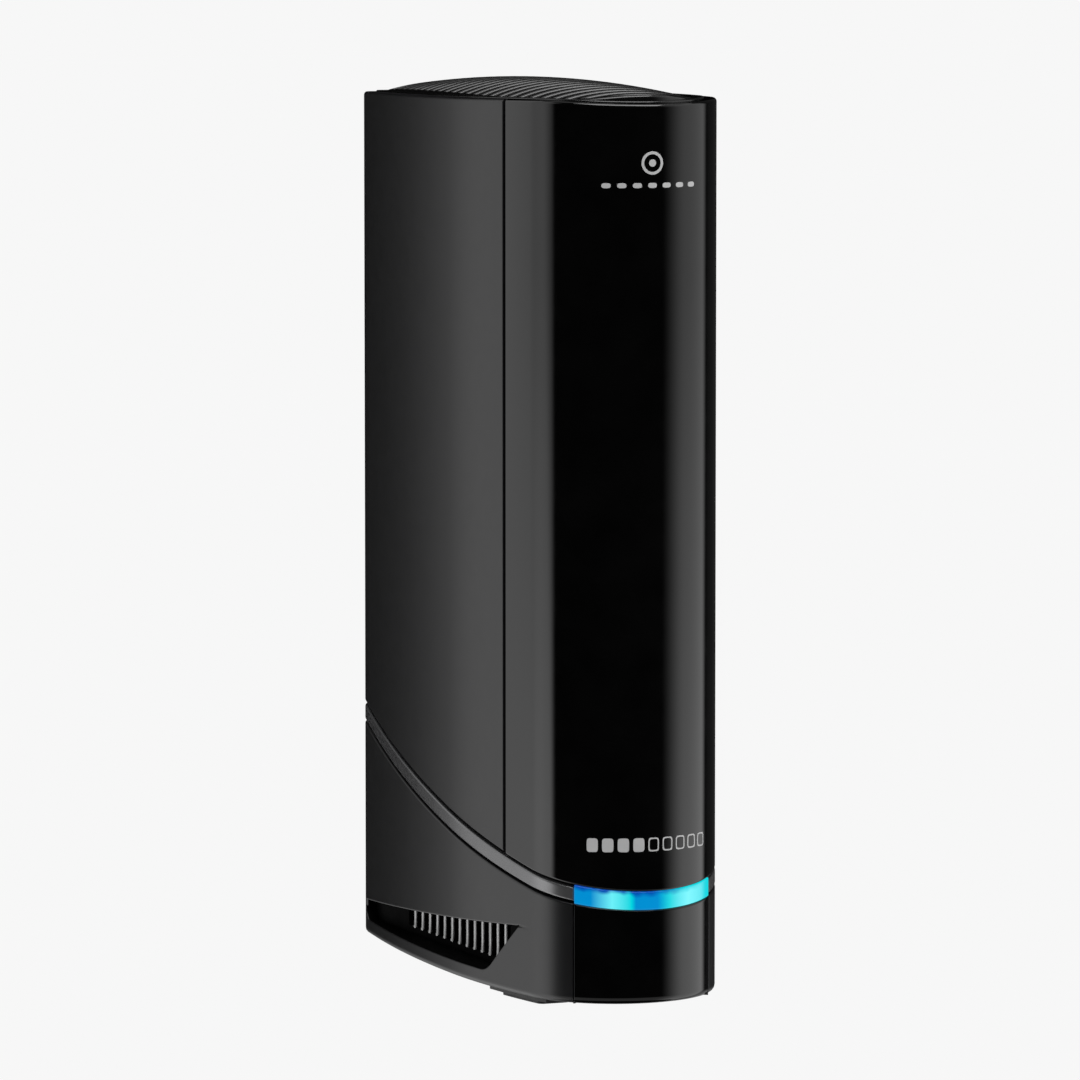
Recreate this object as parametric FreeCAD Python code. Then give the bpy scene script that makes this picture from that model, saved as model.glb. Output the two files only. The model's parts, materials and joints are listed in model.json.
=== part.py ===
import FreeCAD, Part
import math
import os

# A free-standing cable modem: a slim upright tower with a half-round nose, slightly bowed
# sides and a flat back.  +Z is up, the nose faces -Y, and +X is to the right of a viewer who
# looks at the nose.  The origin is on the ground, in the middle of the bounding box.  All
# lengths are millimetres.  "Depth" is the distance behind the nose tip.

# ---- Whole object ----------------------------------------------------------------------------
TOTAL_HEIGHT = 200.4
TOTAL_DEPTH = 128.0          # nose tip to the end of the coaxial connector
BODY_DEPTH = 123.0           # nose tip to the back of the covers
NOSE_Y = -TOTAL_DEPTH / 2
BODY_BOTTOM = 1.5            # underside of the skirt above the ground
RIM_LINE = ((20.0, 197.3), (123.0, 195.5))  # top edge of the covers behind the nose: (depth, height)
RIM_NOSE_RADIUS = 190.0

# ---- Plan outline: nose arc, shoulder arc, rear arc, all tangent -----------------------------
NOSE_RADIUS = 22.2
NOSE_HALF_ANGLE = math.radians(78.6)
SHOULDER_RADIUS = 192.5
REAR_RADIUS = 408.0
REAR_CORNER_RADIUS = 2.5
TOP_EDGE_RADIUS = 0.8
BOTTOM_EDGE_RADIUS = 0.8

# ---- Outer skin ------------------------------------------------------------------------------
WALL = 2.2
GROOVE = 0.4                 # groove on both sides of the curved trim
SEAM_GROOVE = 0.8            # upright groove between side cover and front panel
BUTT_SEAM = 0.16             # tight seam of the lower front panel
SEAM_DEPTH = 28.2            # depth of the upright seam
NOSE_HALF_WIDTH = 16.0       # half width of the light bar and the lower front panel
FIT_GAP = 0.2                # free space between a cover and what stands behind it

# Edges of the curved trim in the side view: (depth, height) of three points of each arc
TRIM_UPPER = ((0.0, 25.95), (61.0, 39.6), (122.0, 55.3))
TRIM_LOWER = ((0.0, 22.25), (61.0, 35.2), (122.0, 51.1))
ARC_OVERRUN = 14.0           # how far the trim arcs run past the body at both ends

# ---- Opening in the back of the covers, and the recessed rear panel --------------------------
REAR_OPENING_HALF = 15.0
REAR_OPENING_BOTTOM = 24.0
REAR_OPENING_TOP = 188.0
PANEL_THICKNESS = 2.0
PANEL_OUTER = BODY_DEPTH - WALL - 2 * FIT_GAP      # depth of the rear panel's outer face
PANEL_INNER = PANEL_OUTER - PANEL_THICKNESS
PANEL_HALF = 17.2
PANEL_BOTTOM = 22.0
PANEL_TOP = 189.0

# ---- Side vent scoops ------------------------------------------------------------------------
VENT_TIP = (22.5, 16.8)
VENT_SLANT_END = (34.1, 7.1)
VENT_FRONT_CORNER = (36.35, 5.65)
VENT_FLOOR_START = (39.6, 5.1)
VENT_FLOOR_Z = 5.1
VENT_REAR = 120.2
VENT_REAR_RADIUS = 3.0
VENT_TOP_REAR = (120.2, 9.5)
VENT_TOP_MIDDLE = (61.4, 13.9)
SCOOP_FLOOR = 3.9
SCOOP_FLOOR_TOP = 4.9
SCOOP_CEILING = 18.3
SCOOP_TOP = 19.5
SCOOP_START = 20.6
SCOOP_END = 119.8
SCOOP_FRONT_WALL = 1.6
SLAT_FACE = 18.4             # |x| of the outer face of the slat wall
SLAT_WALL = 1.8
SLAT_COUNT = 13
SLAT_PITCH = 4.55
SLAT_WIDTH = 2.3
SLAT_FIRST = 41.0
SLAT_FOOT = 6.4              # heights where the gaps between the slats start and end
SLAT_HEAD = 17.8

# ---- Top ring and domed grille ---------------------------------------------------------------
RING_OUTER = 2.75            # inset from the outline
RING_WIDTH = 1.3
RING_ROUND = 0.39
RING_RISE = 0.3              # how far the ring stands above the rim
RING_BOTTOM = 189.6
GRILLE_INSET = 4.25
GRILLE_FRAME_WIDTH = 1.7
GRILLE_BOTTOM = 191.4
DOME_LENGTH_CROWN = 2.5
DOME_WIDTH_CROWN = 3.5
DOME_HALF_LENGTH = 60.0
DOME_HALF_WIDTH = 21.0
DOME_MIDDLE = 58.0
DOME_EDGE_RADIUS = 0.6
LOUVER_COUNT = 24
LOUVER_PITCH = 4.6
LOUVER_WIDTH = 2.5
LOUVER_RADIUS = 60.0         # plan radius, convex toward the back
LOUVER_FIRST = 9.0           # depth of the middle of the first louver
SPINE_WIDTH = 1.6

# ---- Base and feet ---------------------------------------------------------------------------
PLATE_BOTTOM = 1.8
PLATE_TOP = 3.6
PAD_HEIGHT = 0.8
FRONT_FOOT_INSET = 1.5
REAR_FOOT_INSET = 4.6
PAD_MARGIN = 0.9             # how far a pad stands in from its pedestal
FOOT_WIDTH = 7.5
FRONT_PEDESTAL = (14.5, 37.5)
REAR_PEDESTAL = (91.2, 109.2)
FEET = ((FRONT_PEDESTAL, FRONT_FOOT_INSET), (REAR_PEDESTAL, REAR_FOOT_INSET))
PAD_END_GAP = 3.2
PAD_CORNER = 1.4
BASE_SLOT_COUNT = 6
BASE_SLOT_PITCH = 4.6
BASE_SLOT_FIRST = 40.5
BASE_SLOT = (24.0, 2.2)
LABEL_SIZE = (24.0, 22.0)
LABEL_DEPTH = 68.5
LABEL_THICKNESS = 0.12
CASE_SCREWS = ((-9.0, 9.5), (9.0, 9.5), (-6.0, 115.2), (6.0, 115.2))
SCREW_BOSS_TOP = 16.0
REAR_BOSS_TOP = 20.0
SCREW_BOSS_BOTTOM = 6.2
SCREW_SEAT = 4.1             # height of the underside of a screw head's seat
REAR_BOSS_RADIUS = 3.5
FRONT_BOSS_RADIUS = 3.3
PLATE_BOSS_RADIUS = 3.9
BOSS_HOLE = 1.5
BOSS_HOLE_DEPTH = 11.0
RIB_HALF = 1.5
SCREW_WELL = 2.8
SCREW_PASSAGE = 1.6
CASE_SCREW_HEAD = (2.5, 1.8)  # radius and height
CASE_SCREW_SHANK = (1.4, 10.0)
RECESS_ARM = (1.5, 0.4)      # half length and half width of a driver recess
RECESS_DEPTH = 0.9

# ---- Inner frame -----------------------------------------------------------------------------
FRAME_INSET = WALL + 0.3
FRAME_WALL = 1.4
FRAME_BAND = 6.0             # half height of the band behind the trim
FRAME_FRONT_STRIP = (23.0, 34.0)
FRAME_REAR_STRIP = (97.0, 111.0)
FRAME_END = 117.6
FRAME_RING = (185.5, 189.2)
FRAME_NOSE_END = 20.0
FRAME_BOTTOM = 6.2
WINDOW_HALF = 14.0
WINDOW_MARGIN = 0.6
WINDOW_END = 13.5
BOARD_BOSS_RADIUS = 3.2
BOARD_BOSS_HOLE = (1.3, 8.0)  # radius and depth

# ---- Light bar electronics -------------------------------------------------------------------
LED_BOARD_DEPTH = (8.2, 9.4)
LED_BOARD_HALF = 6.5
LED_BOARD_HEIGHTS = (17.4, 31.0)
LED_PLACES = (-4.6, -1.55, 1.55, 4.6)
LED_SIZE = (1.4, 1.1, 1.4)     # half width, thickness and half height
LED_RISE = 2.6               # middle of the LEDs above the lower trim edge at the nose
GUIDE_INSET = (FRAME_INSET - 0.2, 5.6)
GUIDE_END = 13.0
GUIDE_HALF = 13.4
CABLE_X = (0.0, 6.6)
CABLE_DEPTHS = (11.9, 20.0)
CABLE_HEIGHTS = (21.4, 26.6)
CABLE_THICKNESS = 0.3
LIGHT_STAND_X = 4.8          # two stands in the nose carry the LED board
LIGHT_STAND_HALF = 1.4
LIGHT_STAND_START = 3.2
LIGHT_STAND_HEIGHTS = (17.6, 20.2)
SOCKET_HEIGHTS = (20.4, 27.6)
SOCKET_HALF = 1.3
SOCKET_LENGTH = 4.0

# ---- Main board, standing upright, component side toward -X ----------------------------------
BOARD_X = 8.0
BOARD_THICKNESS = 1.6
BOARD_BACK = BOARD_X + BOARD_THICKNESS
BOARD_SPAN = (15.0, 112.0)
BOARD_HEIGHTS = (16.5, 184.0)
BOARD_SCREWS = ((28.5, 46.0), (28.5, 172.0), (104.0, 62.0), (104.0, 178.0))
SINK_SCREWS = ((36.0, 102.0), (36.0, 164.0), (88.0, 102.0), (88.0, 164.0))
SINK_SPAN = (32.0, 92.0)
SINK_HEIGHTS = (98.0, 168.0)
SINK_BASE = (2.0, 5.0)
FIN_TIP = -13.5
FIN_COUNT = 11
FIN_THICKNESS = 1.4
BOARD_HOLE = 1.6
INNER_SCREW_HEAD = (2.6, 1.8)
INNER_SHANK = 1.2
BOARD_SHANK_LENGTH = 9.0
SINK_HOLE = 1.3
SINK_HOLE_DEPTH = 2.5
SINK_SCREW_HEAD = (2.5, 1.6)
SPACER_RADIUS = 2.5
SPACER_BORE = 1.5
CHIP_SIZE = 24.0
CHIP_PLACE = (62.0, 133.0)
CHIP_FACE = 6.0
CAPACITORS = ((74.0, 34.0), (85.0, 34.0), (74.0, 45.0), (85.0, 45.0))
CAPACITOR_RADIUS = 4.0
CAPACITOR_HEIGHT = 11.5
CAPACITOR_ROUND = 0.5
INDUCTORS = ((58.0, 34.0), (58.0, 45.0), (46.0, 40.0))
INDUCTOR_SIZE = (7.5, 7.5)
INDUCTOR_HEIGHT = 4.0
MEMORY_CHIPS = ((34.0, 84.0), (47.0, 84.0))
MEMORY_SIZE = (9.0, 13.5)
MEMORY_HEIGHT = 1.2
FLASH_CHIP = (34.0, 66.0)
FLASH_SIZE = (8.0, 6.0)
CRYSTAL = (48.0, 66.0)
CRYSTAL_SIZE = (3.2, 2.5)
CRYSTAL_HEIGHT = 0.8
TUNER_PLACE = (80.0, 80.0)
TUNER_CHIP_SIZE = (8.0, 8.0)
SMALL_CHIP_HEIGHT = 0.9
TUNER_CAN_SIZE = (32.0, 22.0)
TUNER_CAN_HEIGHT = 6.0
CAN_SHEET = 0.3
CAN_HOLE_RADIUS = 0.8
CAN_HOLE_PITCH = 5.0

# ---- Connectors on the back ------------------------------------------------------------------
RESET_PLACE = (2.0, 171.0)
JACK_HEIGHTS = (150.0, 124.0)
JACK_X = (-5.5, 8.0)
JACK_HALF = 8.0
JACK_SPAN = (100.0, 121.2)
SHIELD_SHEET = 0.3
TIGHT_GAP = 0.05             # free space where one piece is pushed into another
PLUG_X = (-3.4, 4.8)
PLUG_HALF = 5.9
PLUG_DEPTH = 14.5
LATCH_X = (-4.7, -3.4)
LATCH_HALF = 3.1
PIPE_X = (-4.75, -3.75)
PIPE_Z = (3.7, 5.9)
PIPE_LENGTH = 5.0
CONTACT_PITCH = 1.02
CONTACT_COUNT = 8
CONTACT_WIDTH = 0.4
CONTACT_THICKNESS = 0.35
CONTACT_ROOT = 0.9           # how far a contact's fixed end is sunk in the housing
CONTACT_DROP = 2.2           # how far its free end stands in the plug space
CONTACT_RUN = 9.5
CONTACT_FRONT = JACK_SPAN[1] - 3.0
CONTACT_SLOT_LENGTH = 3.4
COAX_PLACE = (1.5, 88.0)
COAX_TIP = TOTAL_DEPTH
COAX_SHOULDER = (110.0, PANEL_INNER - 0.1)
COAX_SHOULDER_RADIUS = 5.9
COAX_BLOCK_START = 103.0
COAX_BLOCK_HALF = (6.0, 6.5)
COAX_SHANK_RADIUS = 4.55      # plain part inside the panel, the washer and the nut
COAX_THREAD_RADIUS = 4.7625  # 3/8 inch - 32 thread
COAX_THREAD_PITCH = 25.4 / 32
COAX_THREAD_DEPTH = 0.45
COAX_CREST = 0.1             # width of a flat crest
COAX_CREST_COUNT = 6
COAX_BORE = 3.7
COAX_FLOOR = 1.0             # how far the bore stops short of the shoulder's front face
COAX_CONTACT_RADIUS = 0.9
COAX_CONTACT_BORE = 0.5
COAX_CONTACT_FLOOR = 2.0
COAX_CONTACT_RECESS = 1.3
COAX_INSULATOR_RECESS = 0.5
WASHER_THICKNESS = 0.6
WASHER_RADIUS = 6.6
NUT_THICKNESS = 2.0
NUT_FLATS = 11.1
NUT_CHAMFER = 0.35
NUT_GAP = 0.08
COAX_THREAD_START = PANEL_OUTER + WASHER_THICKNESS + NUT_THICKNESS + 0.1
POWER_PLACE = (2.4, 52.0)
POWER_BORE = 3.2
POWER_RIM = 0.6
POWER_PIN = 1.0
POWER_PIN_ROOT = 1.3         # radius of the pin where the housing holds it
POWER_PIN_RECESS = 1.0
POWER_PIN_ROUND = 0.6
POWER_BODY_X = (-3.2, 8.0)
POWER_HALF = 4.7
POWER_SPAN = (107.0, PANEL_OUTER + 0.4)
POWER_BORE_DEPTH = 10.0
RESET_HOLE = 1.9
RESET_SHAFT = 1.6
RESET_RECESS = 0.5
RESET_FLANGE = 2.6
RESET_ROUND = 0.35
RESET_FLANGE_SPAN = (PANEL_INNER - 1.4, PANEL_INNER - 0.4)
SWITCH_FACE = 112.0          # depth of the face of the switch that the button enters
SWITCH_LENGTH = 6.5
SWITCH_HALF = 3.2
SWITCH_BORE_DEPTH = 2.4
BUTTON_INSIDE = 1.4          # how far the button's tip stands in the switch at rest

FAR = 60.0                   # reach of the cutting blocks, well outside the body
ACROSS = FreeCAD.Vector(1, 0, 0)
ALONG = FreeCAD.Vector(0, 1, 0)
UP = FreeCAD.Vector(0, 0, 1)

os.makedirs("parts", exist_ok=True)


# ---- Helpers ---------------------------------------------------------------------------------
def place(x, depth, z):
    """Point at a depth behind the nose tip."""
    return FreeCAD.Vector(x, NOSE_Y + depth, z)


def slab(x_span, depth_span, z_span):
    """Box between two x, two depths and two heights."""
    size = (x_span[1] - x_span[0], depth_span[1] - depth_span[0], z_span[1] - z_span[0])
    return Part.makeBox(size[0], size[1], size[2], place(x_span[0], depth_span[0], z_span[0]))


def rod(radius, x, depth, z, length, direction):
    """Cylinder that starts at a point and runs along a direction."""
    return Part.makeCylinder(radius, length, place(x, depth, z), direction)


def arc_edge(first, middle, last):
    return Part.Arc(first, middle, last).toShape()


def line_edge(first, last):
    return Part.LineSegment(first, last).toShape()


def join(solids):
    whole = solids[0].multiFuse(solids[1:]) if len(solids) > 1 else solids[0]
    return whole.removeSplitter()


def mirror_x(shape):
    return shape.mirror(FreeCAD.Vector(0, 0, 0), FreeCAD.Vector(1, 0, 0))


def save(name, shape):
    """Write one sub-part, after a test that its solids are sound."""
    solids = shape.Solids
    if not solids or not shape.isValid():
        raise ValueError(name + " is not a sound solid")
    kept = solids[0] if len(solids) == 1 else Part.makeCompound(solids)
    kept.exportStep("parts/" + name + ".step")
    print(f"{name:24s} solids {len(solids)}  volume {shape.Volume:10.1f}")


# ---- Plan outline ----------------------------------------------------------------------------
def shoulder_centre():
    """Centre of the left shoulder arc, as x and depth."""
    reach = SHOULDER_RADIUS - NOSE_RADIUS
    return reach * math.sin(NOSE_HALF_ANGLE), NOSE_RADIUS + reach * math.cos(NOSE_HALF_ANGLE)


def half_width():
    return SHOULDER_RADIUS - shoulder_centre()[0]


def outline_edges(inset, z):
    """Closed outline, moved inward by inset: nose, two shoulders, two rear arcs, back."""
    nose = NOSE_RADIUS - inset
    shoulder = SHOULDER_RADIUS - inset
    rear = REAR_RADIUS - inset
    centre_x, widest = shoulder_centre()
    rear_centre_x = REAR_RADIUS - half_width()
    back = BODY_DEPTH - inset
    rear_angle = math.asin((back - widest) / rear)

    def nose_point(angle):
        return place(-nose * math.sin(angle), NOSE_RADIUS - nose * math.cos(angle), z)

    def shoulder_point(angle):
        return place(centre_x - shoulder * math.sin(angle), widest - shoulder * math.cos(angle), z)

    def rear_point(angle):
        return place(rear_centre_x - rear * math.cos(angle), widest + rear * math.sin(angle), z)

    def other_side(point):
        return FreeCAD.Vector(-point.x, point.y, point.z)

    middle_angle = (NOSE_HALF_ANGLE + math.pi / 2) / 2
    left_nose = nose_point(NOSE_HALF_ANGLE)
    left_wide = shoulder_point(math.pi / 2)
    left_back = rear_point(rear_angle)
    left_shoulder = shoulder_point(middle_angle)
    left_rear = rear_point(rear_angle / 2)
    return [arc_edge(left_back, left_rear, left_wide),
            arc_edge(left_wide, left_shoulder, left_nose),
            arc_edge(left_nose, nose_point(0), other_side(left_nose)),
            arc_edge(other_side(left_nose), other_side(left_shoulder), other_side(left_wide)),
            arc_edge(other_side(left_wide), other_side(left_rear), other_side(left_back)),
            line_edge(other_side(left_back), left_back)]


def prism(inset, bottom, top):
    """Upright solid with the plan outline moved inward by inset."""
    face = Part.Face(Part.Wire(outline_edges(inset, bottom)))
    return face.extrude(FreeCAD.Vector(0, 0, top - bottom))


def sleeve(inset, thickness, bottom, top):
    """Upright wall that follows the plan outline."""
    return prism(inset, bottom, top).cut(prism(inset + thickness, bottom - 1, top + 1))


def body_block():
    """The whole outer body with its rounded edges."""
    block = prism(0, BODY_BOTTOM, TOTAL_HEIGHT)
    back = NOSE_Y + BODY_DEPTH
    corners = []
    for edge in block.Edges:
        upright = edge.BoundBox.ZLength > TOTAL_HEIGHT / 2
        if upright and edge.BoundBox.YMin > back - 0.01:
            corners.append(edge)
    block = block.makeFillet(REAR_CORNER_RADIUS, corners)
    block = block.common(under_rim(0))
    block = block.makeFillet(TOP_EDGE_RADIUS, top_edges(block))
    bottom = [e for e in block.Edges if e.BoundBox.ZMax < BODY_BOTTOM + 0.01]
    return block.makeFillet(BOTTOM_EDGE_RADIUS, bottom)


# ---- Trim curves in the side view ------------------------------------------------------------
def circle_through(points):
    """Centre and radius of the circle through three (depth, height) points."""
    (x1, y1), (x2, y2), (x3, y3) = points
    d = 2 * (x1 * (y2 - y3) + x2 * (y3 - y1) + x3 * (y1 - y2))
    a, b, c = x1 * x1 + y1 * y1, x2 * x2 + y2 * y2, x3 * x3 + y3 * y3
    cx = (a * (y2 - y3) + b * (y3 - y1) + c * (y1 - y2)) / d
    cy = (a * (x3 - x2) + b * (x1 - x3) + c * (x2 - x1)) / d
    return cx, cy, math.hypot(x1 - cx, y1 - cy)


def trim_height(curve, depth, rise):
    """Height of a trim edge at a depth, moved up square to the curve by rise."""
    cx, cy, radius = circle_through(curve)
    return cy - math.sqrt((radius - rise) ** 2 - (depth - cx) ** 2)


def trim_edge(curve, rise, x):
    ends = (-ARC_OVERRUN, BODY_DEPTH / 2, BODY_DEPTH + ARC_OVERRUN)
    points = [place(x, depth, trim_height(curve, depth, rise)) for depth in ends]
    return arc_edge(points[0], points[1], points[2])


def side_block(low, high, half=FAR):
    """Solid through the body between two trim edges, or flat heights, in the side view."""
    edges = []
    corners = []
    for bound in (low, high):
        if isinstance(bound, tuple):
            edge = trim_edge(bound[0], bound[1], -half)
        else:
            first = place(-half, -ARC_OVERRUN, bound)
            edge = line_edge(first, place(-half, BODY_DEPTH + ARC_OVERRUN, bound))
        edges.append(edge)
        corners.append((edge.Vertexes[0].Point, edge.Vertexes[-1].Point))
    edges.append(line_edge(corners[0][0], corners[1][0]))
    edges.append(line_edge(corners[0][1], corners[1][1]))
    wire = Part.Wire(Part.__sortEdges__(edges))
    return Part.Face(wire).extrude(FreeCAD.Vector(2 * half, 0, 0))


# ---- Rim: the top of the outer wall in the side view -----------------------------------------
def rim_height(depth):
    """An arc over the nose, then a straight fall to the back."""
    (start, high), (end, low) = RIM_LINE
    fall = math.atan2(high - low, end - start)
    if depth >= start:
        return high - (depth - start) * math.tan(fall)
    middle = start - RIM_NOSE_RADIUS * math.sin(fall)
    base = high - RIM_NOSE_RADIUS * math.cos(fall)
    return base + math.sqrt(RIM_NOSE_RADIUS ** 2 - (depth - middle) ** 2)


def under_rim(rise):
    """Solid through the body below the rim curve, which is moved up by rise."""
    front, start, back = -10.0, RIM_LINE[0][0], BODY_DEPTH + 10.0

    def at(depth):
        return place(-FAR, depth, rim_height(depth) + rise)

    low_front = place(-FAR, front, -10)
    low_back = place(-FAR, back, -10)
    edges = [arc_edge(at(front), at((front + start) / 2), at(start)),
             line_edge(at(start), at(back)),
             line_edge(at(back), low_back),
             line_edge(low_back, low_front),
             line_edge(low_front, at(front))]
    return Part.Face(Part.Wire(edges)).extrude(FreeCAD.Vector(2 * FAR, 0, 0))


def top_edges(shape):
    """Edges of the top face, without the line across it where the arc and the fall meet."""
    meeting = NOSE_Y + RIM_LINE[0][0]
    edges = []
    for edge in shape.Edges:
        box = edge.BoundBox
        across = box.YLength < 0.01 and abs(box.YMin - meeting) < 0.01
        if box.ZMin > RIM_LINE[1][1] - 1 and not across:
            edges.append(edge)
    return edges


# ---- Outer skin ------------------------------------------------------------------------------
def skin():
    """Outer wall of the body, open at the top, the bottom and the back."""
    wall = body_block().cut(prism(WALL, BODY_BOTTOM - 1, TOTAL_HEIGHT + 1))
    opening = slab((-REAR_OPENING_HALF, REAR_OPENING_HALF), (BODY_DEPTH - 2 * WALL, BODY_DEPTH + 1),
                   (REAR_OPENING_BOTTOM, REAR_OPENING_TOP))
    return wall.cut(opening)


def above_trim():
    return side_block((TRIM_UPPER, GROOVE / 2), TOTAL_HEIGHT + 10)


def below_trim():
    return side_block(BODY_BOTTOM - 10, (TRIM_LOWER, -GROOVE / 2))


def side_cover(wall):
    """Left side cover: from the upright seam round the rear corner."""
    zone = slab((-FAR, -GROOVE / 2), (SEAM_DEPTH + SEAM_GROOVE / 2, BODY_DEPTH + 5), (0, TOTAL_HEIGHT))
    return wall.common(above_trim()).common(zone)


def front_panel(wall):
    zone = slab((-FAR, FAR), (-5, SEAM_DEPTH - SEAM_GROOVE / 2), (0, TOTAL_HEIGHT))
    return wall.common(above_trim()).common(zone)


def lower_front_panel(wall):
    half = NOSE_HALF_WIDTH - BUTT_SEAM / 2
    return wall.common(below_trim()).common(slab((-half, half), (-5, NOSE_RADIUS), (0, TOTAL_HEIGHT)))


def side_trim(wall):
    """Left length of the curved trim, from the light bar to the back."""
    band = side_block((TRIM_LOWER, GROOVE / 2), (TRIM_UPPER, -GROOVE / 2))
    zone = slab((-FAR, -NOSE_HALF_WIDTH - BUTT_SEAM / 2), (0, BODY_DEPTH + 5), (0, TOTAL_HEIGHT))
    return wall.common(band).common(zone)


def light_bar(wall):
    band = side_block((TRIM_LOWER, -GROOVE / 4), (TRIM_UPPER, GROOVE / 4))
    half = NOSE_HALF_WIDTH - BUTT_SEAM / 2
    return wall.common(band).common(slab((-half, half), (-5, NOSE_RADIUS), (0, TOTAL_HEIGHT)))


def vent_opening():
    """Left scoop opening: sharp tip in front, slanted front edge, rounded lower corners."""
    def at(point):
        return place(-FAR, point[0], point[1])

    rear_low = (VENT_REAR, VENT_FLOOR_Z + VENT_REAR_RADIUS)
    floor_end = (VENT_REAR - VENT_REAR_RADIUS, VENT_FLOOR_Z)
    corner = VENT_REAR_RADIUS * (1 - math.sqrt(0.5))
    rear_middle = (VENT_REAR - corner, VENT_FLOOR_Z + corner)
    edges = [line_edge(at(VENT_TIP), at(VENT_SLANT_END)),
             arc_edge(at(VENT_SLANT_END), at(VENT_FRONT_CORNER), at(VENT_FLOOR_START)),
             line_edge(at(VENT_FLOOR_START), at(floor_end)),
             arc_edge(at(floor_end), at(rear_middle), at(rear_low)),
             line_edge(at(rear_low), at(VENT_TOP_REAR)),
             arc_edge(at(VENT_TOP_REAR), at(VENT_TOP_MIDDLE), at(VENT_TIP))]
    return Part.Face(Part.Wire(edges)).extrude(FreeCAD.Vector(FAR - SLAT_FACE + 2, 0, 0))


def base_skirt(wall):
    """Lower body: two sides and the back, open at the nose, with two rear screw bosses."""
    half = NOSE_HALF_WIDTH + BUTT_SEAM / 2
    skirt = wall.common(below_trim()).cut(slab((-half, half), (-5, NOSE_RADIUS), (0, TOTAL_HEIGHT)))
    opening = vent_opening()
    skirt = skirt.cut(opening).cut(mirror_x(opening))
    bosses = []
    for x, depth in CASE_SCREWS[2:]:
        bosses.append(rod(REAR_BOSS_RADIUS, x, depth, SCREW_BOSS_BOTTOM,
                          REAR_BOSS_TOP - SCREW_BOSS_BOTTOM, UP))
        bosses.append(slab((x - RIB_HALF, x + RIB_HALF), (depth, BODY_DEPTH - WALL / 2),
                           (SCREW_BOSS_BOTTOM, REAR_BOSS_TOP)))
    skirt = join([skirt] + bosses)
    for x, depth in CASE_SCREWS[2:]:
        skirt = skirt.cut(rod(BOSS_HOLE, x, depth, SCREW_BOSS_BOTTOM - 1, BOSS_HOLE_DEPTH + 1, UP))
    return skirt


def side_vent():
    """Left vent insert: a channel behind the scoop opening with a wall of upright slats."""
    zone = slab((-FAR, SLAT_WALL - SLAT_FACE), (SCOOP_START, SCOOP_END), (SCOOP_FLOOR, SCOOP_TOP))
    block = prism(WALL + FIT_GAP, SCOOP_FLOOR, SCOOP_TOP).common(zone)
    pocket = slab((-FAR, -SLAT_FACE), (SCOOP_START + SCOOP_FRONT_WALL, SCOOP_END + 5),
                  (SCOOP_FLOOR_TOP, SCOOP_CEILING))
    block = block.cut(pocket)
    gap = SLAT_PITCH - SLAT_WIDTH
    cuts = []
    for number in range(SLAT_COUNT + 1):
        start = SLAT_FIRST - SLAT_PITCH + number * SLAT_PITCH + SLAT_WIDTH / 2
        cuts.append(slab((-SLAT_FACE - 1, SLAT_WALL - SLAT_FACE + 1), (start, start + gap),
                         (SLAT_FOOT, SLAT_HEAD)))
    return block.cut(Part.makeCompound(cuts))


# ---- Top -------------------------------------------------------------------------------------
def top_ring():
    ring = sleeve(RING_OUTER, RING_WIDTH, RING_BOTTOM, TOTAL_HEIGHT).common(under_rim(RING_RISE))
    return ring.makeFillet(RING_ROUND, top_edges(ring))


def dome_block():
    """Solid under the crowned top surface: an arc across, carried along a larger arc."""
    across = DOME_HALF_WIDTH ** 2 / (2 * DOME_WIDTH_CROWN)
    along = DOME_HALF_LENGTH ** 2 / (2 * DOME_LENGTH_CROWN)
    reach = DOME_HALF_WIDTH + 4
    edge_z = TOTAL_HEIGHT - across + math.sqrt(across ** 2 - reach ** 2)
    left = place(-reach, DOME_MIDDLE, edge_z)
    right = place(reach, DOME_MIDDLE, edge_z)
    low = TOTAL_HEIGHT - 20
    face = Part.Face(Part.Wire([
        arc_edge(left, place(0, DOME_MIDDLE, TOTAL_HEIGHT), right),
        line_edge(right, place(reach, DOME_MIDDLE, low)),
        line_edge(place(reach, DOME_MIDDLE, low), place(-reach, DOME_MIDDLE, low)),
        line_edge(place(-reach, DOME_MIDDLE, low), left)]))
    axis_point = place(0, DOME_MIDDLE, TOTAL_HEIGHT - along)
    half_turn = math.degrees(math.asin((DOME_HALF_LENGTH + 6) / along))
    face.rotate(axis_point, FreeCAD.Vector(1, 0, 0), -half_turn)
    return face.revolve(axis_point, FreeCAD.Vector(1, 0, 0), 2 * half_turn)


def louver_strip(number):
    """Upright curved strip, convex toward the back."""
    middle = LOUVER_FIRST + number * LOUVER_PITCH
    centre = place(0, middle - LOUVER_RADIUS, GRILLE_BOTTOM)
    height = TOTAL_HEIGHT + 2 - GRILLE_BOTTOM
    outer = Part.makeCylinder(LOUVER_RADIUS + LOUVER_WIDTH / 2, height, centre)
    inner = Part.makeCylinder(LOUVER_RADIUS - LOUVER_WIDTH / 2, height, centre)
    sagitta = LOUVER_RADIUS - math.sqrt(LOUVER_RADIUS ** 2 - half_width() ** 2)
    half_space = slab((-FAR, FAR), (middle - sagitta - 2 * LOUVER_WIDTH, middle + 2 * LOUVER_WIDTH),
                      (GRILLE_BOTTOM, TOTAL_HEIGHT + 2))
    return outer.cut(inner).common(half_space)


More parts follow.
